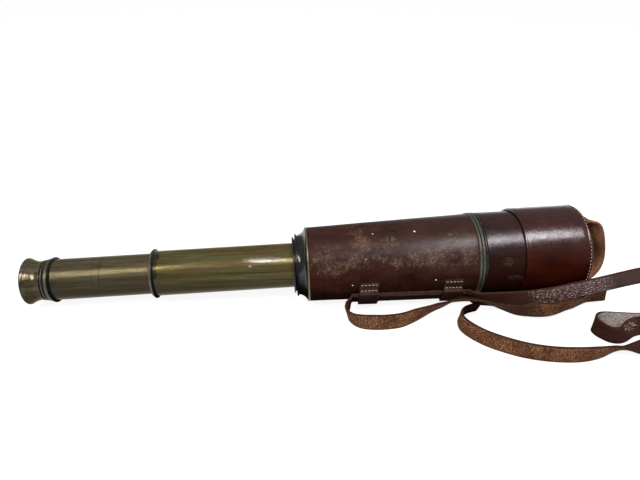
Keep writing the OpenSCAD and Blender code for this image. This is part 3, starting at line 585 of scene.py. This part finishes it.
GREY = plain("grey_metal", (0.085, 0.076, 0.076), rough=0.34, metal=0.4, vary=0.3, size=1.2, seed=6)
WHITE = plain("paint_speck", (0.8, 0.78, 0.74), rough=0.4, vary=0.08, size=0.5, seed=73)
INNER_BRASS = brass(
    "inner_brass", (0.3, 0.21, 0.08), (0.42, 0.31, 0.12), (0.52, 0.4, 0.18), shine=0.25, seed=7,
    metal=0.9, brown=0.2,
)
CUP_BRASS = brass(
    "eyecup_brass", (0.09, 0.078, 0.046), (0.18, 0.156, 0.094), (0.34, 0.302, 0.205), shine=0.2,
    seed=23, metal=0.75, brown=0.3,
)
EYE_BRASS = brass(
    "eye_draw_brass", (0.06, 0.053, 0.03), (0.114, 0.1, 0.057), (0.172, 0.15, 0.092), shine=0.24,
    seed=11,
    marks=[
        (on_round(-194.5, EYE_R, -4), (6, 12, 7), BLUE_GREY, 0.5),
        (on_round(-186, EYE_R, 40), (14, 12, 5), BLUE_GREY, 0.4),
        (placed(-158, 0, 0), (0.45, 90, 90), SOOT, 0.6),
        (placed(-164, 0, 0), (0.35, 90, 90), SOOT, 0.4),
    ],
)
LARGE_BRASS = brass(
    "large_draw_brass", (0.072, 0.064, 0.025), (0.13, 0.114, 0.047), (0.172, 0.153, 0.07), shine=0.17,
    seed=17,
    marks=[
        # A painted highlight and its tail, then a small pale fleck
        (on_round(-27, LARGE_R, -51), (11, 3, 1.1), (0.7, 0.68, 0.6), 0.85),
        (on_round(-24, LARGE_R, -52), (20, 4, 2.2), (0.3, 0.28, 0.22), 0.6),
        (on_round(-35.5, LARGE_R, -38), (1.2, 1.2, 1.2), (0.42, 0.4, 0.33), 0.7),
        # Stains and soot near the draw's collar
        (on_round(-111, LARGE_R, -2), (4.0, 12, 5.0), BLUE_GREY, 0.6),
        (on_round(-113, LARGE_R, -32), (2.6, 10, 4), SOOT, 0.7),
        (on_round(-113, LARGE_R, -56), (3.0, 9, 2.4), SOOT, 0.7),
        (on_round(-113, LARGE_R, 26), (2.6, 10, 3), SOOT, 0.6),
        (on_round(-112, LARGE_R, -78), (3.4, 7, 1.6), SOOT, 0.7),
    ],
)
GLASS = lens_glass("lens_glass")

# Leathers and threads
BARREL_LEATHER = leather(
    "barrel_leather", (0.016, 0.0046, 0.0034), (0.046, 0.0138, 0.0098), (0.215, 0.142, 0.088), wear=0.78,
    shine=0.33, seed=31, cover=barrel_cover, gloss=0.45, dull=0.56,
)
SHADE_LEATHER = leather(
    "shade_leather", (0.014, 0.004, 0.003), (0.03, 0.009, 0.007), (0.2, 0.13, 0.09), wear=0.4,
    shine=0.24, grain_depth=0.04, seed=37, cover=shade_cover, gloss=0.66, lit=(0.044, 0.066),
)
CAP_LEATHER = leather(
    "cap_leather", (0.022, 0.0028, 0.0012), (0.044, 0.008, 0.0038), (0.08, 0.03, 0.02), wear=0.05,
    shine=0.2, grain=0.8, grain_depth=0.03, seed=41, gloss=0.95, lit=(0.048, 0.068),
)
KEEPER_LEATHER = leather(
    "keeper_leather", (0.032, 0.015, 0.012), (0.06, 0.029, 0.024), (0.17, 0.11, 0.085), wear=0.6,
    shine=0.42, grain=0.8, seed=43,
)
LINING = hide_flesh("lining_leather", (0.16, 0.08, 0.035), (0.28, 0.16, 0.08), (0.4, 0.28, 0.17), seed=47)
# Strap flesh with a pale bleached place at the curl, and a painted shadow where the front stretch shades the
# rear one
FLESH = hide_flesh(
    "strap_flesh", (0.095, 0.027, 0.0095), (0.2, 0.066, 0.024), (0.6, 0.4, 0.25), seed=51,
    bleached=((0.24, -0.0625, 0.01), (36, 6, 22)), painted_shadow=((0.15, -0.047, 0.012), (38, 9, 30)),
)
GRAIN = hide_grain("strap_grain", (0.034, 0.014, 0.0108), (0.066, 0.028, 0.0225), seed=53, crackle_and_glints=True)
MIDDLE_HIDE = hide_grain("strap_between_keepers", (0.05, 0.022, 0.014), (0.09, 0.042, 0.028), seed=101)
EDGE = plain(
    "strap_edge", (0.054, 0.0235, 0.0145), rough=0.7, vary=0.45, size=1.6, seed=59, depth=0.05,
    fleck=(0.14, 0.08, 0.055), gloss=0.0,
)
# The pull strap's near face is the flesh at about twice the brightness of PULL_SIDE: painted light that
# lifts the shade between strap and cap
PULL_FLESH_PAINTED_LIGHT = hide_flesh("pull_strap_flesh_painted_light", (0.24, 0.095, 0.05), (0.48, 0.21, 0.115), (0.66, 0.38, 0.23), 61)
PULL_SIDE = hide_flesh("pull_strap_side", (0.13, 0.052, 0.028), (0.26, 0.112, 0.062), (0.38, 0.22, 0.13), 61)
THREAD = plain("thread", (0.36, 0.26, 0.23), rough=0.8, vary=0.35, size=0.8, seed=67, depth=0.05)
PALE_THREAD = plain(
    "pale_thread", (0.5, 0.45, 0.37), rough=0.8, vary=0.35, size=1.5, seed=71, depth=0.05,
    fleck=(0.12, 0.07, 0.05),
)


# Pieces
SHARP = radians(50)
LATHE_STEPS = 192


def mesh_from(name, bm):
    mesh = bpy.data.meshes.new(name)
    bm.to_mesh(mesh)
    bm.free()
    return mesh


def piece(name, bm, looks, body, slot, *stands_for):
    """An object on its body. Edges sharper than SHARP stay crisp."""
    bmesh.ops.recalc_face_normals(bm, faces=bm.faces)
    for face in bm.faces:
        face.smooth = True
    for edge in bm.edges:
        if len(edge.link_faces) == 2 and edge.calc_face_angle(0.0) > SHARP:
            edge.smooth = False
    mesh = mesh_from(name, bm)
    for look in looks:
        mesh.materials.append(look)
    obj = add_object(name, mesh)
    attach(obj, body)
    if stands_for:
        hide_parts(*stands_for)
    return obj


# An outline is a list of (place along the telescope, radius, look up to the next point)
def bead(s1, s2, outer, inner):
    """Outline of a ring with a round outside."""
    half = (s2 - s1) / 2
    depth = min(half, outer - inner)
    made = [(s2, inner, 0), (s1, inner, 0)]
    for k in range(13):
        a = radians(-90 + 15 * k)
        made.append((s1 + half + half * sin(a), outer - depth + depth * cos(a), 0))
    return made


def tube_outline(s1, s2, outer, inner, inside=1):
    """Outline of a plain tube; inside is the look of its bore and ends."""
    return [(s1, inner, inside), (s1, outer, 0), (s2, outer, inside), (s2, inner, inside)]


def corner(s, r, way, *offsets, look=0):
    """Points of an outline at offsets along way from s and inwards from r."""
    return [(s + way * ds, r - dr, look) for ds, dr in offsets]


def turn_on_lathe(outline, shape=None, bm=None):
    """Spins an outline round the telescope's axis. shape gives small changes of the radius."""
    bm = bm or bmesh.new()
    rings = []
    for i in range(LATHE_STEPS):
        angle = 90 + 360 * i / LATHE_STEPS
        radii = [r + shape(s, r, angle) if shape else r for s, r, _ in outline]
        rings.append([bm.verts.new(on_round(p[0], r, angle)) for p, r in zip(outline, radii)])
    n = len(outline)
    for i in range(LATHE_STEPS):
        a, b = rings[i], rings[(i + 1) % LATHE_STEPS]
        for k in range(n):
            face = bm.faces.new((a[k], a[(k + 1) % n], b[(k + 1) % n], b[k]))
            face.material_index = outline[k][2]
    return bm


def turned_piece(name, outline, *rest):
    piece(name + "_turned", turn_on_lathe(outline), *rest)


def add_stitch(bm, start, end, out, radius, sides=6):
    """A thread that rises out of the leather and dips back in, thinner at both ends."""
    points = []
    for k in range(5):
        t = k / 4
        points.append(start.lerp(end, t) + out * (sin(pi * t) * 1.5 - 0.9) * radius)
    turns = [2 * pi * k / sides for k in range(sides)]
    rings = []
    for i, p in enumerate(points):
        d = along(points, i)
        side = d.orthogonal().normalized()
        other = d.cross(side)
        size = radius * (0.55 if i in (0, len(points) - 1) else 1.0)
        rings.append([bm.verts.new(p + (side * cos(a) + other * sin(a)) * size) for a in turns])
    for a, b in zip(rings, rings[1:]):
        for k in range(sides):
            bm.faces.new((a[k], a[(k + 1) % sides], b[(k + 1) % sides], b[k]))
    bm.faces.new(rings[0])
    bm.faces.new(rings[-1])


def strap_section(width, thick, near, far, edge):
    """Section of a strap with rounded edges as (up, out, look up to the next point)."""
    w, t = width / 2, thick / 2
    c = t * 0.75
    half = [
        (-w + c / 4, t * 0.72, edge), (-w + c, t, near), (-w / 2, t, near), (0, t, near), (w / 2, t, near),
        (w - c, t, edge), (w - c / 4, t * 0.72, edge), (w, t / 4, edge), (w, -t / 4, edge),
    ]
    return half + [(-u, -v, edge if look == edge else far) for u, v, look in half]


def ribbon(path, ups, width, thick, looks, widths=None):
    """A strap with rounded edges. looks are the indices for the near, far and edge faces: the near
    face looks to the right of the strap's way. widths gives small changes of the width."""
    section = strap_section(width, thick, *looks)
    n = len(section)
    bm = bmesh.new()
    rings = []
    for i, p in enumerate(path):
        d = along(path, i)
        up = (ups[i] - d * ups[i].dot(d)).normalized()
        out = d.cross(up).normalized()
        k = widths(i) if widths else 1.0
        rings.append([bm.verts.new(p + (up * u * k + out * v) * MM) for u, v, _ in section])
    for a, b in zip(rings, rings[1:]):
        for k in range(n):
            face = bm.faces.new((a[k], a[(k + 1) % n], b[(k + 1) % n], b[k]))
            face.material_index = section[k][2]
    for end in (rings[0], rings[-1]):
        bm.faces.new(end).material_index = looks[2]
    return bm


# Sling
def free_stretch(start, direction, angle, route, steps=6):
    """Centre line and upward directions of a stretch that leaves its keeper straight."""
    first = [*start, angle]
    second = [*(start + direction * KEEPER_LEAD * MM), angle]
    curve = [first, *spline([second, *route], steps)]
    path = [Vector(p[:3]) for p in curve]
    ups = [STRAP_UP if i == 0 else leaning(along(path, i), p[3]) for i, p in enumerate(curve)]
    return path, ups


def lift(points, middle, reach, rise, lean=0):
    """Raises and leans the points of a route near x = middle, fading out over reach."""
    for point in points:
        near = exp(-((point[0] - middle) / reach) ** 2)
        point[2] += rise * near
        point[3] += lean * near


def uneven(seed, size=0.012):
    """Small differences in a strap's width along its length."""
    rng = random.Random(seed)
    waves = [(rng.uniform(0.05, 0.4), rng.uniform(0, 6.28), rng.uniform(0.3, 1.0)) for _ in range(4)]
    return lambda i: 1.0 - size + size * sum(a * sin(f * i + p) for f, p, a in waves) / 3


def make_sling_end(name, node, path, ups, looks, seed):
    bm = ribbon(path, ups, SLING_W, SLING_T, looks, uneven(seed))
    strap = piece(name, bm, (GRAIN, FLESH, EDGE), "barrel", "sling_leather", node)


def make_punched_hole(path, ups, place, radius=0.75, proud=1.03, sides=16):
    """A flat dark disc on the near side of the strap, painted shade standing in for a punched hole, at the
    point of its path nearest to place.
    """
    i = min(range(len(path)), key=lambda k: (path[k] - Vector(place)).length)
    way = along(path, i)
    centre = path[i] + way.cross(ups[i]).normalized() * proud * MM
    bm = bmesh.new()
    rim = []
    for k in range(sides):
        a = 2 * pi * k / sides
        rim.append(bm.verts.new(centre + (ups[i] * cos(a) + way * sin(a)) * radius * MM))
    bm.faces.new(rim)
    piece("punched_hole", bm, (DULL_BLACK,), "barrel", "sling_leather")


def make_sling_middle(steps=24):
    path = [STRAP_REAR.lerp(STRAP_FRONT, i / steps) for i in range(steps + 1)]
    bm = ribbon(path, [STRAP_UP] * (steps + 1), SLING_W, SLING_T, (0, 0, 1))
    piece("sling_middle_strap", bm, (MIDDLE_HIDE, EDGE), "barrel", "sling_leather", "sling_middle")


# The first bend turns evenly out of the rear keeper
for point, lean in zip(REAR_ROUTE, (12, -8, -17, -14, -6)):
    point[3] = lean
# Where the stretches cross in front of the shade they lie close against each other
lift(REAR_ROUTE[16:], 0.214, 0.013, 0.003)
lift(REAR_ROUTE[12:], 0.172, 0.014, 0.0015, 14)
lift(FRONT_ROUTE[:5], 0.155, 0.020, 0.0024)
rear_path, rear_ups = free_stretch(STRAP_REAR, -STRAP_DIR, KEEPER_ANGLE, REAR_ROUTE)
front_path, front_ups = free_stretch(STRAP_FRONT, STRAP_DIR, -KEEPER_ANGLE, FRONT_ROUTE)
# The grain side faces left on the rear stretch and right on the front stretch
make_sling_end("sling_rear_strap", "sling_rear", rear_path, rear_ups, (1, 0, 2), 1)
make_sling_end("sling_front_strap", "sling_front", front_path, front_ups, (0, 1, 2), 2)
make_punched_hole(front_path, front_ups, (0.2262, -0.0762, 0.0079))
make_sling_middle()


# Keepers
PAD_T = KEEPER_T * 0.75


def keeper_angles(s):
    """Angles of the loop's upper and lower inner edges, and the angle that one leg takes up."""
    r = barrel_r(s)
    side = degrees(atan((SLING_W / 2 + STRAP_GAP) / (r + STRAP_GAP)))
    return KEEPER_ANGLE - side, KEEPER_ANGLE + side, degrees(KEEPER_T / r)


def keeper_arc(radius, start, end):
    count = max(2, ceil(abs(end - start) / 2.5))
    return [(radius, start + (end - start) * k / count) for k in range(count + 1)]


def keeper_outline(s):
    """The keeper's section as (radius, angle): two pads sewn to the barrel and the loop between them."""
    r = barrel_r(s)
    top, bottom, leg = keeper_angles(s)
    rise = hypot(r + STRAP_GAP + SLING_T, SLING_W / 2) - r + STRAP_GAP
    return [
        *keeper_arc(r + PAD_T, top - KEEPER_PAD, top - leg),
        *keeper_arc(r + rise + KEEPER_T, top - leg, bottom + leg),
        *keeper_arc(r + PAD_T, bottom + leg, bottom + KEEPER_PAD),
        *keeper_arc(r, bottom + KEEPER_PAD, bottom),
        *keeper_arc(r + rise, bottom, top),
        *keeper_arc(r, top, top - KEEPER_PAD),
    ]


def make_keeper_loop(name, middle):
    s1, s2 = middle - KEEPER_LEN / 2, middle + KEEPER_LEN / 2
    outline = keeper_outline(s1)
    bm = bmesh.new()
    ends = []
    for s in (s1, s2):
        taper = barrel_r(s) / barrel_r(s1)
        ends.append([bm.verts.new(on_round(s, r * taper, a)) for r, a in outline])
    n = len(outline)
    for i in range(n):
        bm.faces.new((ends[0][i], ends[0][(i + 1) % n], ends[1][(i + 1) % n], ends[1][i]))
    for end in ends:
        bm.faces.new(end)
    bmesh.ops.recalc_face_normals(bm, faces=bm.faces)
    corners = [e for e in bm.edges if e.calc_face_angle(0.0) > radians(40)]
    bmesh.ops.bevel(bm, geom=corners, offset=0.32 * MM, segments=3, affect="EDGES", profile=0.5)
    piece(name + "_loop", bm, (KEEPER_LEATHER,), "barrel", "barrel_leather", name)


def make_keeper_stitches(name, middle, pitch=2.9, length=2.2, thread=0.42, count=5):
    """Two rows of stitches through each pad."""
    top, bottom, leg = keeper_angles(middle - KEEPER_LEN / 2)
    outer, inner = KEEPER_PAD - 2.6, leg + 1.6
    rows = (top - outer, top - inner, bottom + inner, bottom + outer)
    bm = bmesh.new()
    for row in rows:
        for k in range(count):
            s = middle + (k - (count - 1) / 2) * pitch
            r = barrel_r(s) + PAD_T + 0.06
            start = on_round(s - length / 2, r, row)
            end = on_round(s + length / 2, r, row + 0.5)
            add_stitch(bm, start, end, outward(row), thread * MM)
    piece(name + "_stitches", bm, (THREAD,), "barrel", "sling_leather")


for keeper, middle in KEEPERS.items():
    make_keeper_loop(keeper, middle)
    make_keeper_stitches(keeper, middle)


# Eyepiece
CUP_DISH_DEPTH = 3.6
CUP_RIM_W = 1.4
CUP_LIP_W = 1.2
SIGHT_LEN = 6.5
CUP_GROOVES = ((0.52, 0.05), (0.80, 0.045))
CUP_GROOVE_DEPTH = 0.30


def eyecup_outline():
    """A waist, a flare with two turned grooves, a rounded rim and a dished face."""
    waist = EYECUP - 0.3 * EYECUP_LEN
    lip = EYECUP_END + CUP_LIP_W
    collar = WAIST_R + 0.4
    made = [(EYECUP, LENS_TUBE_R, 0)]
    made += corner(EYECUP, collar, -1, (0, 0), (0.8, 0), (1.6, 0.4))
    for k in range(49):
        t = k / 48
        flare = (RIM_R - WAIST_R) * (1 - cos(pi / 2 * t))
        groove = CUP_GROOVE_DEPTH * sum(exp(-((t - at) / wide) ** 2) for at, wide in CUP_GROOVES)
        made.append((waist + (lip - waist) * t, WAIST_R + flare - groove, 0))
    made += corner(EYECUP_END, RIM_R, 1, (0.75, 0), (0.35, 0.12), (0.08, 0.4), (0, 0.75))
    face_r = RIM_R - CUP_RIM_W
    for k in range(17):
        t = k / 16
        dish = CUP_DISH_DEPTH * sin(pi / 2 * t)
        made.append((EYECUP_END + dish, face_r - (face_r - SIGHT_R) * t, 0))
    hole_end = EYECUP_END + SIGHT_LEN
    return made + [(hole_end, SIGHT_R, 1), (hole_end, LENS_TUBE_R, 1)]


def grip_ring_outline():
    """A ring with rounded edges, and behind it the dark spigot that carries the grey ring."""
    end = GRIP + GRIP_W
    made = [(EYECUP, LENS_TUBE_R, 1), (EYECUP, NECK_R, 1), (GRIP, NECK_R, 0)]
    made += corner(GRIP, GRIP_R, 1, (0, 0.6), (0.12, 0.28), (0.4, 0.04), (0.8, 0))
    made += corner(end, GRIP_R, -1, (0.8, 0))
    made += corner(end, GRIP_R, -1, (0.4, 0.04), (0.12, 0.28), (0, 0.6), look=1)
    return made + [(end, LENS_TUBE_R, 1)]


def bead_ring():
    """The black bead with the spigot that fits into the eye draw."""
    bm = turn_on_lathe(bead(EYE_DRAW - EYE_BEAD_W, EYE_DRAW, EYE_BEAD_R, LENS_TUBE_R))
    spigot = tube_outline(EYE_DRAW - EYE_BEAD_W / 2, EYE_DRAW + 5, EYE_BORE_R, LENS_TUBE_R, inside=0)
    return turn_on_lathe(spigot, bm=bm)


turned_piece("eyecup", eyecup_outline(), (CUP_BRASS, DULL_BLACK), "eye_draw", "draw_brass", "eyecup")
turned_piece("grey_ring", bead(GREY_RING + 0.1, GREY_RING + 1.5, GREY_RING_R, NECK_R), (GREY,), "eye_draw",
             "grey_metal", "eyepiece_grey_ring")
turned_piece("grip_ring", grip_ring_outline(), (GRIP_BRASS, BLACK), "eye_draw", "green_brass",
             "eyepiece_grip_ring")
piece("bead_ring_turned", bead_ring(), (BLACK,), "eye_draw", "blackened", "eyepiece_bead_ring")


# Draws
def draw_collar_outline():
    """A band with a rounded rear edge, a dark bead and a lip inside that holds the draw tube."""
    end = LARGE_DRAW + DRAW_COLLAR_LEN
    step = LARGE_DRAW + DRAW_COLLAR_LIP
    bead_half = DRAW_BEAD_W / 2
    bore_r = EYE_R + SLIDING_FIT
    made = [(LARGE_DRAW, bore_r, 1)]
    made += corner(LARGE_DRAW, DRAW_COLLAR_R, 1, (0, 0.4), (0.12, 0.12), (0.4, 0))
    for k in range(13):
        a = radians(-90 + 15 * k)
        s = step + bead_half + bead_half * sin(a)
        made.append((s, DRAW_BEAD_R - bead_half + bead_half * cos(a), 1 if k > 5 else 0))
    made += corner(end, DRAW_COLLAR_R, -1, (0.3, 0.05), (0.1, 0.15), (0, 0.35), look=1)
    return made + [(end, LARGE_R, 1), (step, LARGE_R, 1), (step, bore_r, 1)]


turned_piece("eye_draw", tube_outline(EYE_DRAW, EYE_END, EYE_R, EYE_BORE_R), (EYE_BRASS, INNER_BRASS),
             "eye_draw", "draw_brass", "eye_draw_tube")
turned_piece("draw_collar", draw_collar_outline(), (GREEN_BRASS, BLACK), "large_draw", "green_brass",
             "large_draw_collar")
turned_piece("large_draw", tube_outline(LARGE_DRAW + DRAW_COLLAR_LIP, LARGE_END, LARGE_R, LARGE_BORE_R),
             (LARGE_BRASS, INNER_BRASS), "large_draw", "draw_brass", "large_draw_tube")


# Rear collar
def flanges_outline():
    """Two thin flanges with rounded edges on one core."""
    rims = []
    for s1, r, look in ((0, FLANGE_RADII[0], 1), (FLANGE_T + FLANGE_GROOVE, FLANGE_RADII[1], 0)):
        rims.append([
            *corner(s1, r, 1, (0, 0.35), (0.1, 0.1), (0.35, 0), look=look),
            *corner(s1 + FLANGE_T, r, -1, (0.35, 0), (0.1, 0.1), (0, 0.35), look=look),
        ])
    groove = [(FLANGE_T, GROOVE_R, 0), (FLANGE_T + FLANGE_GROOVE, GROOVE_R, 0)]
    return [(0, COLLAR_BORE_R, 1), *rims[0], *groove, *rims[1], (COLLAR, COLLAR_BORE_R, 0)]


def collar_outline():
    """A hollow curve from the neck to the bead, and a spigot inside the barrel tube."""
    start, end = Vector((COLLAR, COLLAR_NECK_R)), Vector((END_BEAD, COLLAR_WIDE_R))
    chord = end - start
    away = Vector((-chord.y, chord.x)).normalized()
    centre = (start + end) / 2 + away * sqrt(COLLAR_HOLLOW_R ** 2 - (chord.length / 2) ** 2)
    first = atan2(start.y - centre.y, start.x - centre.x)
    last = atan2(end.y - centre.y, end.x - centre.x)
    sweep = (last - first + pi) % (2 * pi) - pi
    made = [(COLLAR, COLLAR_BORE_R, 0)]
    for k in range(21):
        a = first + sweep * k / 20
        made.append((centre.x + COLLAR_HOLLOW_R * cos(a), centre.y + COLLAR_HOLLOW_R * sin(a), 0))
    spigot_r = REAR_R - LEATHER_T - BARREL_WALL
    spigot_end = END_BEAD + SPIGOT_LEN
    web = COLLAR + 3
    return made + [
        (END_BEAD, spigot_r, 0), (spigot_end, spigot_r, 0), (spigot_end, spigot_r - 2, 0),
        (END_BEAD, spigot_r - 2, 0), (web, COLLAR_NECK_R - 2, 0), (web, COLLAR_BORE_R, 0),
    ]


turned_piece("flanges", flanges_outline(), (BLACK, PURPLE), "barrel", "blackened", "collar_flanges")
turned_piece("collar", collar_outline(), (GLOSS_BLACK,), "barrel", "blackened", "barrel_collar")
turned_piece("end_bead", bead(END_BEAD, LEATHER, END_BEAD_R, REAR_R - LEATHER_T), (BEAD_BRASS,), "barrel",
             "draw_brass", "barrel_end_bead")


# Barrel, rings and shade
def leather_tube(s1, r1, s2, r2, thick, seed, edge=0.5):
    """Leather glued round a tube, with worn-round edges and an uneven outside."""
    made = [(s1, r1 - thick, 0), (s1, r1 - edge, 0), (s1 + edge * 0.3, r1 - edge * 0.3, 0)]
    count = int((s2 - s1) / 3)
    for k in range(count + 1):
        t = k / count
        made.append((s1 + edge + (s2 - s1 - 2 * edge) * t, r1 + (r2 - r1) * t, 0))
    made += [(s2 - edge * 0.3, r2 - edge * 0.3, 0), (s2, r2 - edge, 0), (s2, r2 - thick, 0)]
    rng = random.Random(seed)
    waves = [(rng.uniform(0.02, 0.12), rng.randint(1, 6), rng.uniform(0, 6.28)) for _ in range(6)]

    def unevenness(s, r, angle):
        if r < min(r1, r2) - thick + 0.05 or s < s1 + edge or s > s2 - edge:
            return 0.0
        a = radians(angle)
        return 0.02 * sum(sin(f * s + n * a + p) for f, n, p in waves)

    return turn_on_lathe(made, shape=unevenness)


def ridged(s1, s2, outer, inner, looks):
    """Rounded ridges side by side, one for each look."""
    pitch = (s2 - s1) / len(looks)
    ridge = 1.1
    made = [(s1, inner, looks[0])]
    for i, look in enumerate(looks):
        middle = s1 + pitch * i + pitch / 2
        for k in range(11):
            a = radians(-90 + 18 * k)
            made.append((middle + pitch / 2 * sin(a), outer - ridge + ridge * cos(a), look))
    return made + [(s2, inner, looks[-1])]


SHADE_BODY = SHADE + SHADE_RING_LEN
bm = leather_tube(LEATHER, REAR_R, LEATHER_END, FRONT_R, LEATHER_T, 3)
piece("barrel_leather_wrapped", bm, (BARREL_LEATHER,), "barrel", "barrel_leather", "barrel_leather")
bm = leather_tube(SHADE_BODY, SHADE_R, SHADE_END - SHADE_FRONT_LEN, SHADE_R, SHADE_LEATHER_T, 4)
piece("shade_leather_wrapped", bm, (SHADE_LEATHER,), "ray_shade", "cap_leather", "shade_leather")
turned_piece("front_ring", bead(LEATHER_END, RING_END, RING_R, NOSE_R), (RIDGE_BRASS,), "barrel",
             "green_brass", "barrel_front_ring")
turned_piece("shade_ring", ridged(SHADE, SHADE_BODY, RING_R, SHADE_R - SHADE_LEATHER_T, (0, 1)),
             (RIDGE_BRASS, BLACK), "ray_shade", "green_brass", "shade_rear_ring")


# Front cap
def cap_outline():
    """A wall with a creased rim, a sewn groove near its front edge, and the end disc."""
    crease_end = CAP + 2.3
    wall_len = CAP_END - 4.4 - crease_end
    made = [(CAP, CAP_R - CAP_WALL, 0)]
    made += corner(CAP, CAP_R, 1, (0, 0.5), (0.12, 0.15), (0.5, 0), (1.5, 0), (1.9, 0.10), (2.3, 0))
    for k in range(1, 16):
        made.append((crease_end + wall_len * k / 16, CAP_R, 0))
    made += corner(CAP_END, CAP_R, -1, (3.6, 0), (3.25, 0.12), (3.0, 0.25), (2.75, 0.12), (2.4, 0))
    for k in range(10):
        a = radians(10 * k)
        s = CAP_END - CAP_ROUND + CAP_ROUND * sin(a)
        made.append((s, CAP_R - CAP_ROUND + CAP_ROUND * cos(a), 0))
    made += [(CAP_END, CAP_R - 5, 0), (CAP_END - 0.05, 20, 0), (CAP_END - 0.3, 0.01, 0)]
    inside = CAP_END - CAP_DISC_T
    return made + [(inside, 0.01, 1), (inside, CAP_R - CAP_WALL, 1)]


def make_cap_stitches(pitch=3.0, thread=0.28):
    """A row of stitches all round the front edge of the wall."""
    bm = bmesh.new()
    rng = random.Random(5)
    count = round(2 * pi * CAP_R / pitch)
    step = 360 / count
    for i in range(count):
        a = i * step + rng.uniform(-0.25, 0.25)
        s = CAP_END - SEAM + rng.uniform(-0.08, 0.08)
        add_stitch(bm, on_round(s, CAP_R, a), on_round(s, CAP_R, a + step * 0.66), outward(a), thread * MM)
    piece("cap_stitches", bm, (PALE_THREAD,), "front_cap", "sling_leather")


def make_pull_strap():
    """The strap across the cap's end, held flat at both ends and bowed between them."""
    first, last = PULL_ROUTE[0], PULL_ROUTE[-1]
    curve = [first, *spline(PULL_ROUTE[1:-1], 8), last]
    run = Vector((last[1] - first[1], last[2] - first[2])).normalized()
    path = [placed(CAP_END + s, y, z) for s, y, z, _ in curve]
    ups = []
    for *_, twist in curve:
        a = radians(twist)
        ups.append(turned(sin(a), run.y * cos(a), -run.x * cos(a)))
    # The near face carries the brightened flesh, painted light; the far face and edges the plain flesh
    bm = ribbon(path, ups, PULL_W, PULL_T, (0, 1, 1))
    piece("pull_strap_bent", bm, (PULL_FLESH_PAINTED_LIGHT, PULL_SIDE), "front_cap", "sling_leather", "cap_pull_strap")


bm = turn_on_lathe(cap_outline())
piece("cap_sewn", bm, (CAP_LEATHER, LINING), "front_cap", "cap_leather", "cap_wall", "cap_end")
make_cap_stitches()
make_pull_strap()


# Specks of white paint on the barrel: along the telescope, degrees below the side, and radius
SPECKS = (
    (101.1, -73.7, 1.0), (66.5, -75.3, 0.6), (58.5, -36.1, 0.75), (47.2, 2.4, 0.85), (115.4, -0.3, 0.85),
)


def make_specks(sides=9, height=0.14, sunk=0.05):
    bm = bmesh.new()
    rng = random.Random(11)
    side = turned(1, 0, 0)
    for s, angle, size in SPECKS:
        centre = on_round(s, barrel_r(s) + 0.02, angle)
        out = outward(angle)
        other = out.cross(side)
        rim = []
        for k in range(sides):
            a = 2 * pi * k / sides
            reach = size * rng.uniform(0.7, 1.1) * MM
            rim.append(bm.verts.new(centre + (side * cos(a) + other * sin(a)) * reach - out * sunk * MM))
        top = bm.verts.new(centre + out * height * MM)
        for k in range(sides):
            bm.faces.new((rim[k], rim[(k + 1) % sides], top))
    piece("paint_specks", bm, (WHITE,), "barrel", "barrel_leather")


make_specks()


# Solids that stay as they are, with the look of each
KEPT = {
    GLASS: (
        "crown_lens", "flint_lens", "eye_lens", "field_lens", "erector_lens_rear", "erector_lens_front",
    ),
    INNER_BRASS: (
        "barrel_tube", "barrel_slide_sleeve", "large_draw_sleeve", "large_draw_stop_ring",
        "eye_draw_stop_ring", "shade_tube", "erector_tube",
    ),
    RIDGE_BRASS: ("shade_front_ring",),
    DULL_BLACK: (
        "objective_cell", "lens_spacer_ring", "objective_retaining_ring", "barrel_baffle",
        "eyepiece_lens_tube", "field_stop", "erector_stop",
    ),
    LINING: ("cap_lining",),
}
for look, names in KEPT.items():
    for name in names:
        mesh = nodes[name].data
        mesh.materials.clear()
        mesh.materials.append(look)


# Floor, light and background
FLOOR_GLOW = 0.90
ROOM = 0.25


def make_floor():
    """White paper that shows white to the camera and in reflections, and still takes a shadow."""
    bm = bmesh.new()
    bmesh.ops.create_grid(bm, x_segments=1, y_segments=1, size=6.0)
    mesh = mesh_from("floor", bm)
    m = Look("white_paper")
    paper = m.ramp(m.noise(60.0), (0.3, (0.27, 0.27, 0.27)), (0.7, (0.30, 0.30, 0.30)))
    m.put(Base_Color=paper, Roughness=0.9, Specular_IOR_Level=0.0)
    rays = m.add("ShaderNodeLightPath")
    seen = m.larger(rays.outputs["Is Camera Ray"], rays.outputs["Is Glossy Ray"])
    seen = m.larger(seen, rays.outputs["Is Transmission Ray"])
    m.put(Emission_Color=(1.0, 1.0, 1.0), Emission_Strength=m.times(seen, FLOOR_GLOW))
    mesh.materials.append(m.mat)
    add_object("floor", mesh)


def make_world():
    world = bpy.data.worlds.new("studio")
    bpy.context.scene.world = world
    world.use_nodes = True
    room = world.node_tree.nodes["Background"]
    room.inputs["Color"].default_value = (0.94, 0.96, 1.0, 1.0)
    room.inputs["Strength"].default_value = ROOM


def make_light(name, place, aim, size, power, colour):
    """A soft rectangular lamp; places in metres, power in watts."""
    data = bpy.data.lights.new(name, "AREA")
    data.shape = "RECTANGLE"
    data.size, data.size_y = size
    data.energy = power
    data.color = colour
    obj = add_object(name, data)
    obj.location = place
    obj.rotation_euler = (Vector(aim) - Vector(place)).to_track_quat("-Z", "Y").to_euler()


make_floor()
make_world()
make_light("key", (0.30, -0.44, 0.96), aim=(0.10, 0.0, 0.04), size=(0.85, 0.32), power=9.4,
           colour=(1.0, 0.97, 1.0))
make_light("left", (-0.62, -0.56, 0.90), aim=(-0.15, 0.0, 0.03), size=(0.30, 0.46), power=6.2,
           colour=(1.0, 0.94, 0.84))

bpy.context.scene.view_settings.view_transform = "Standard"
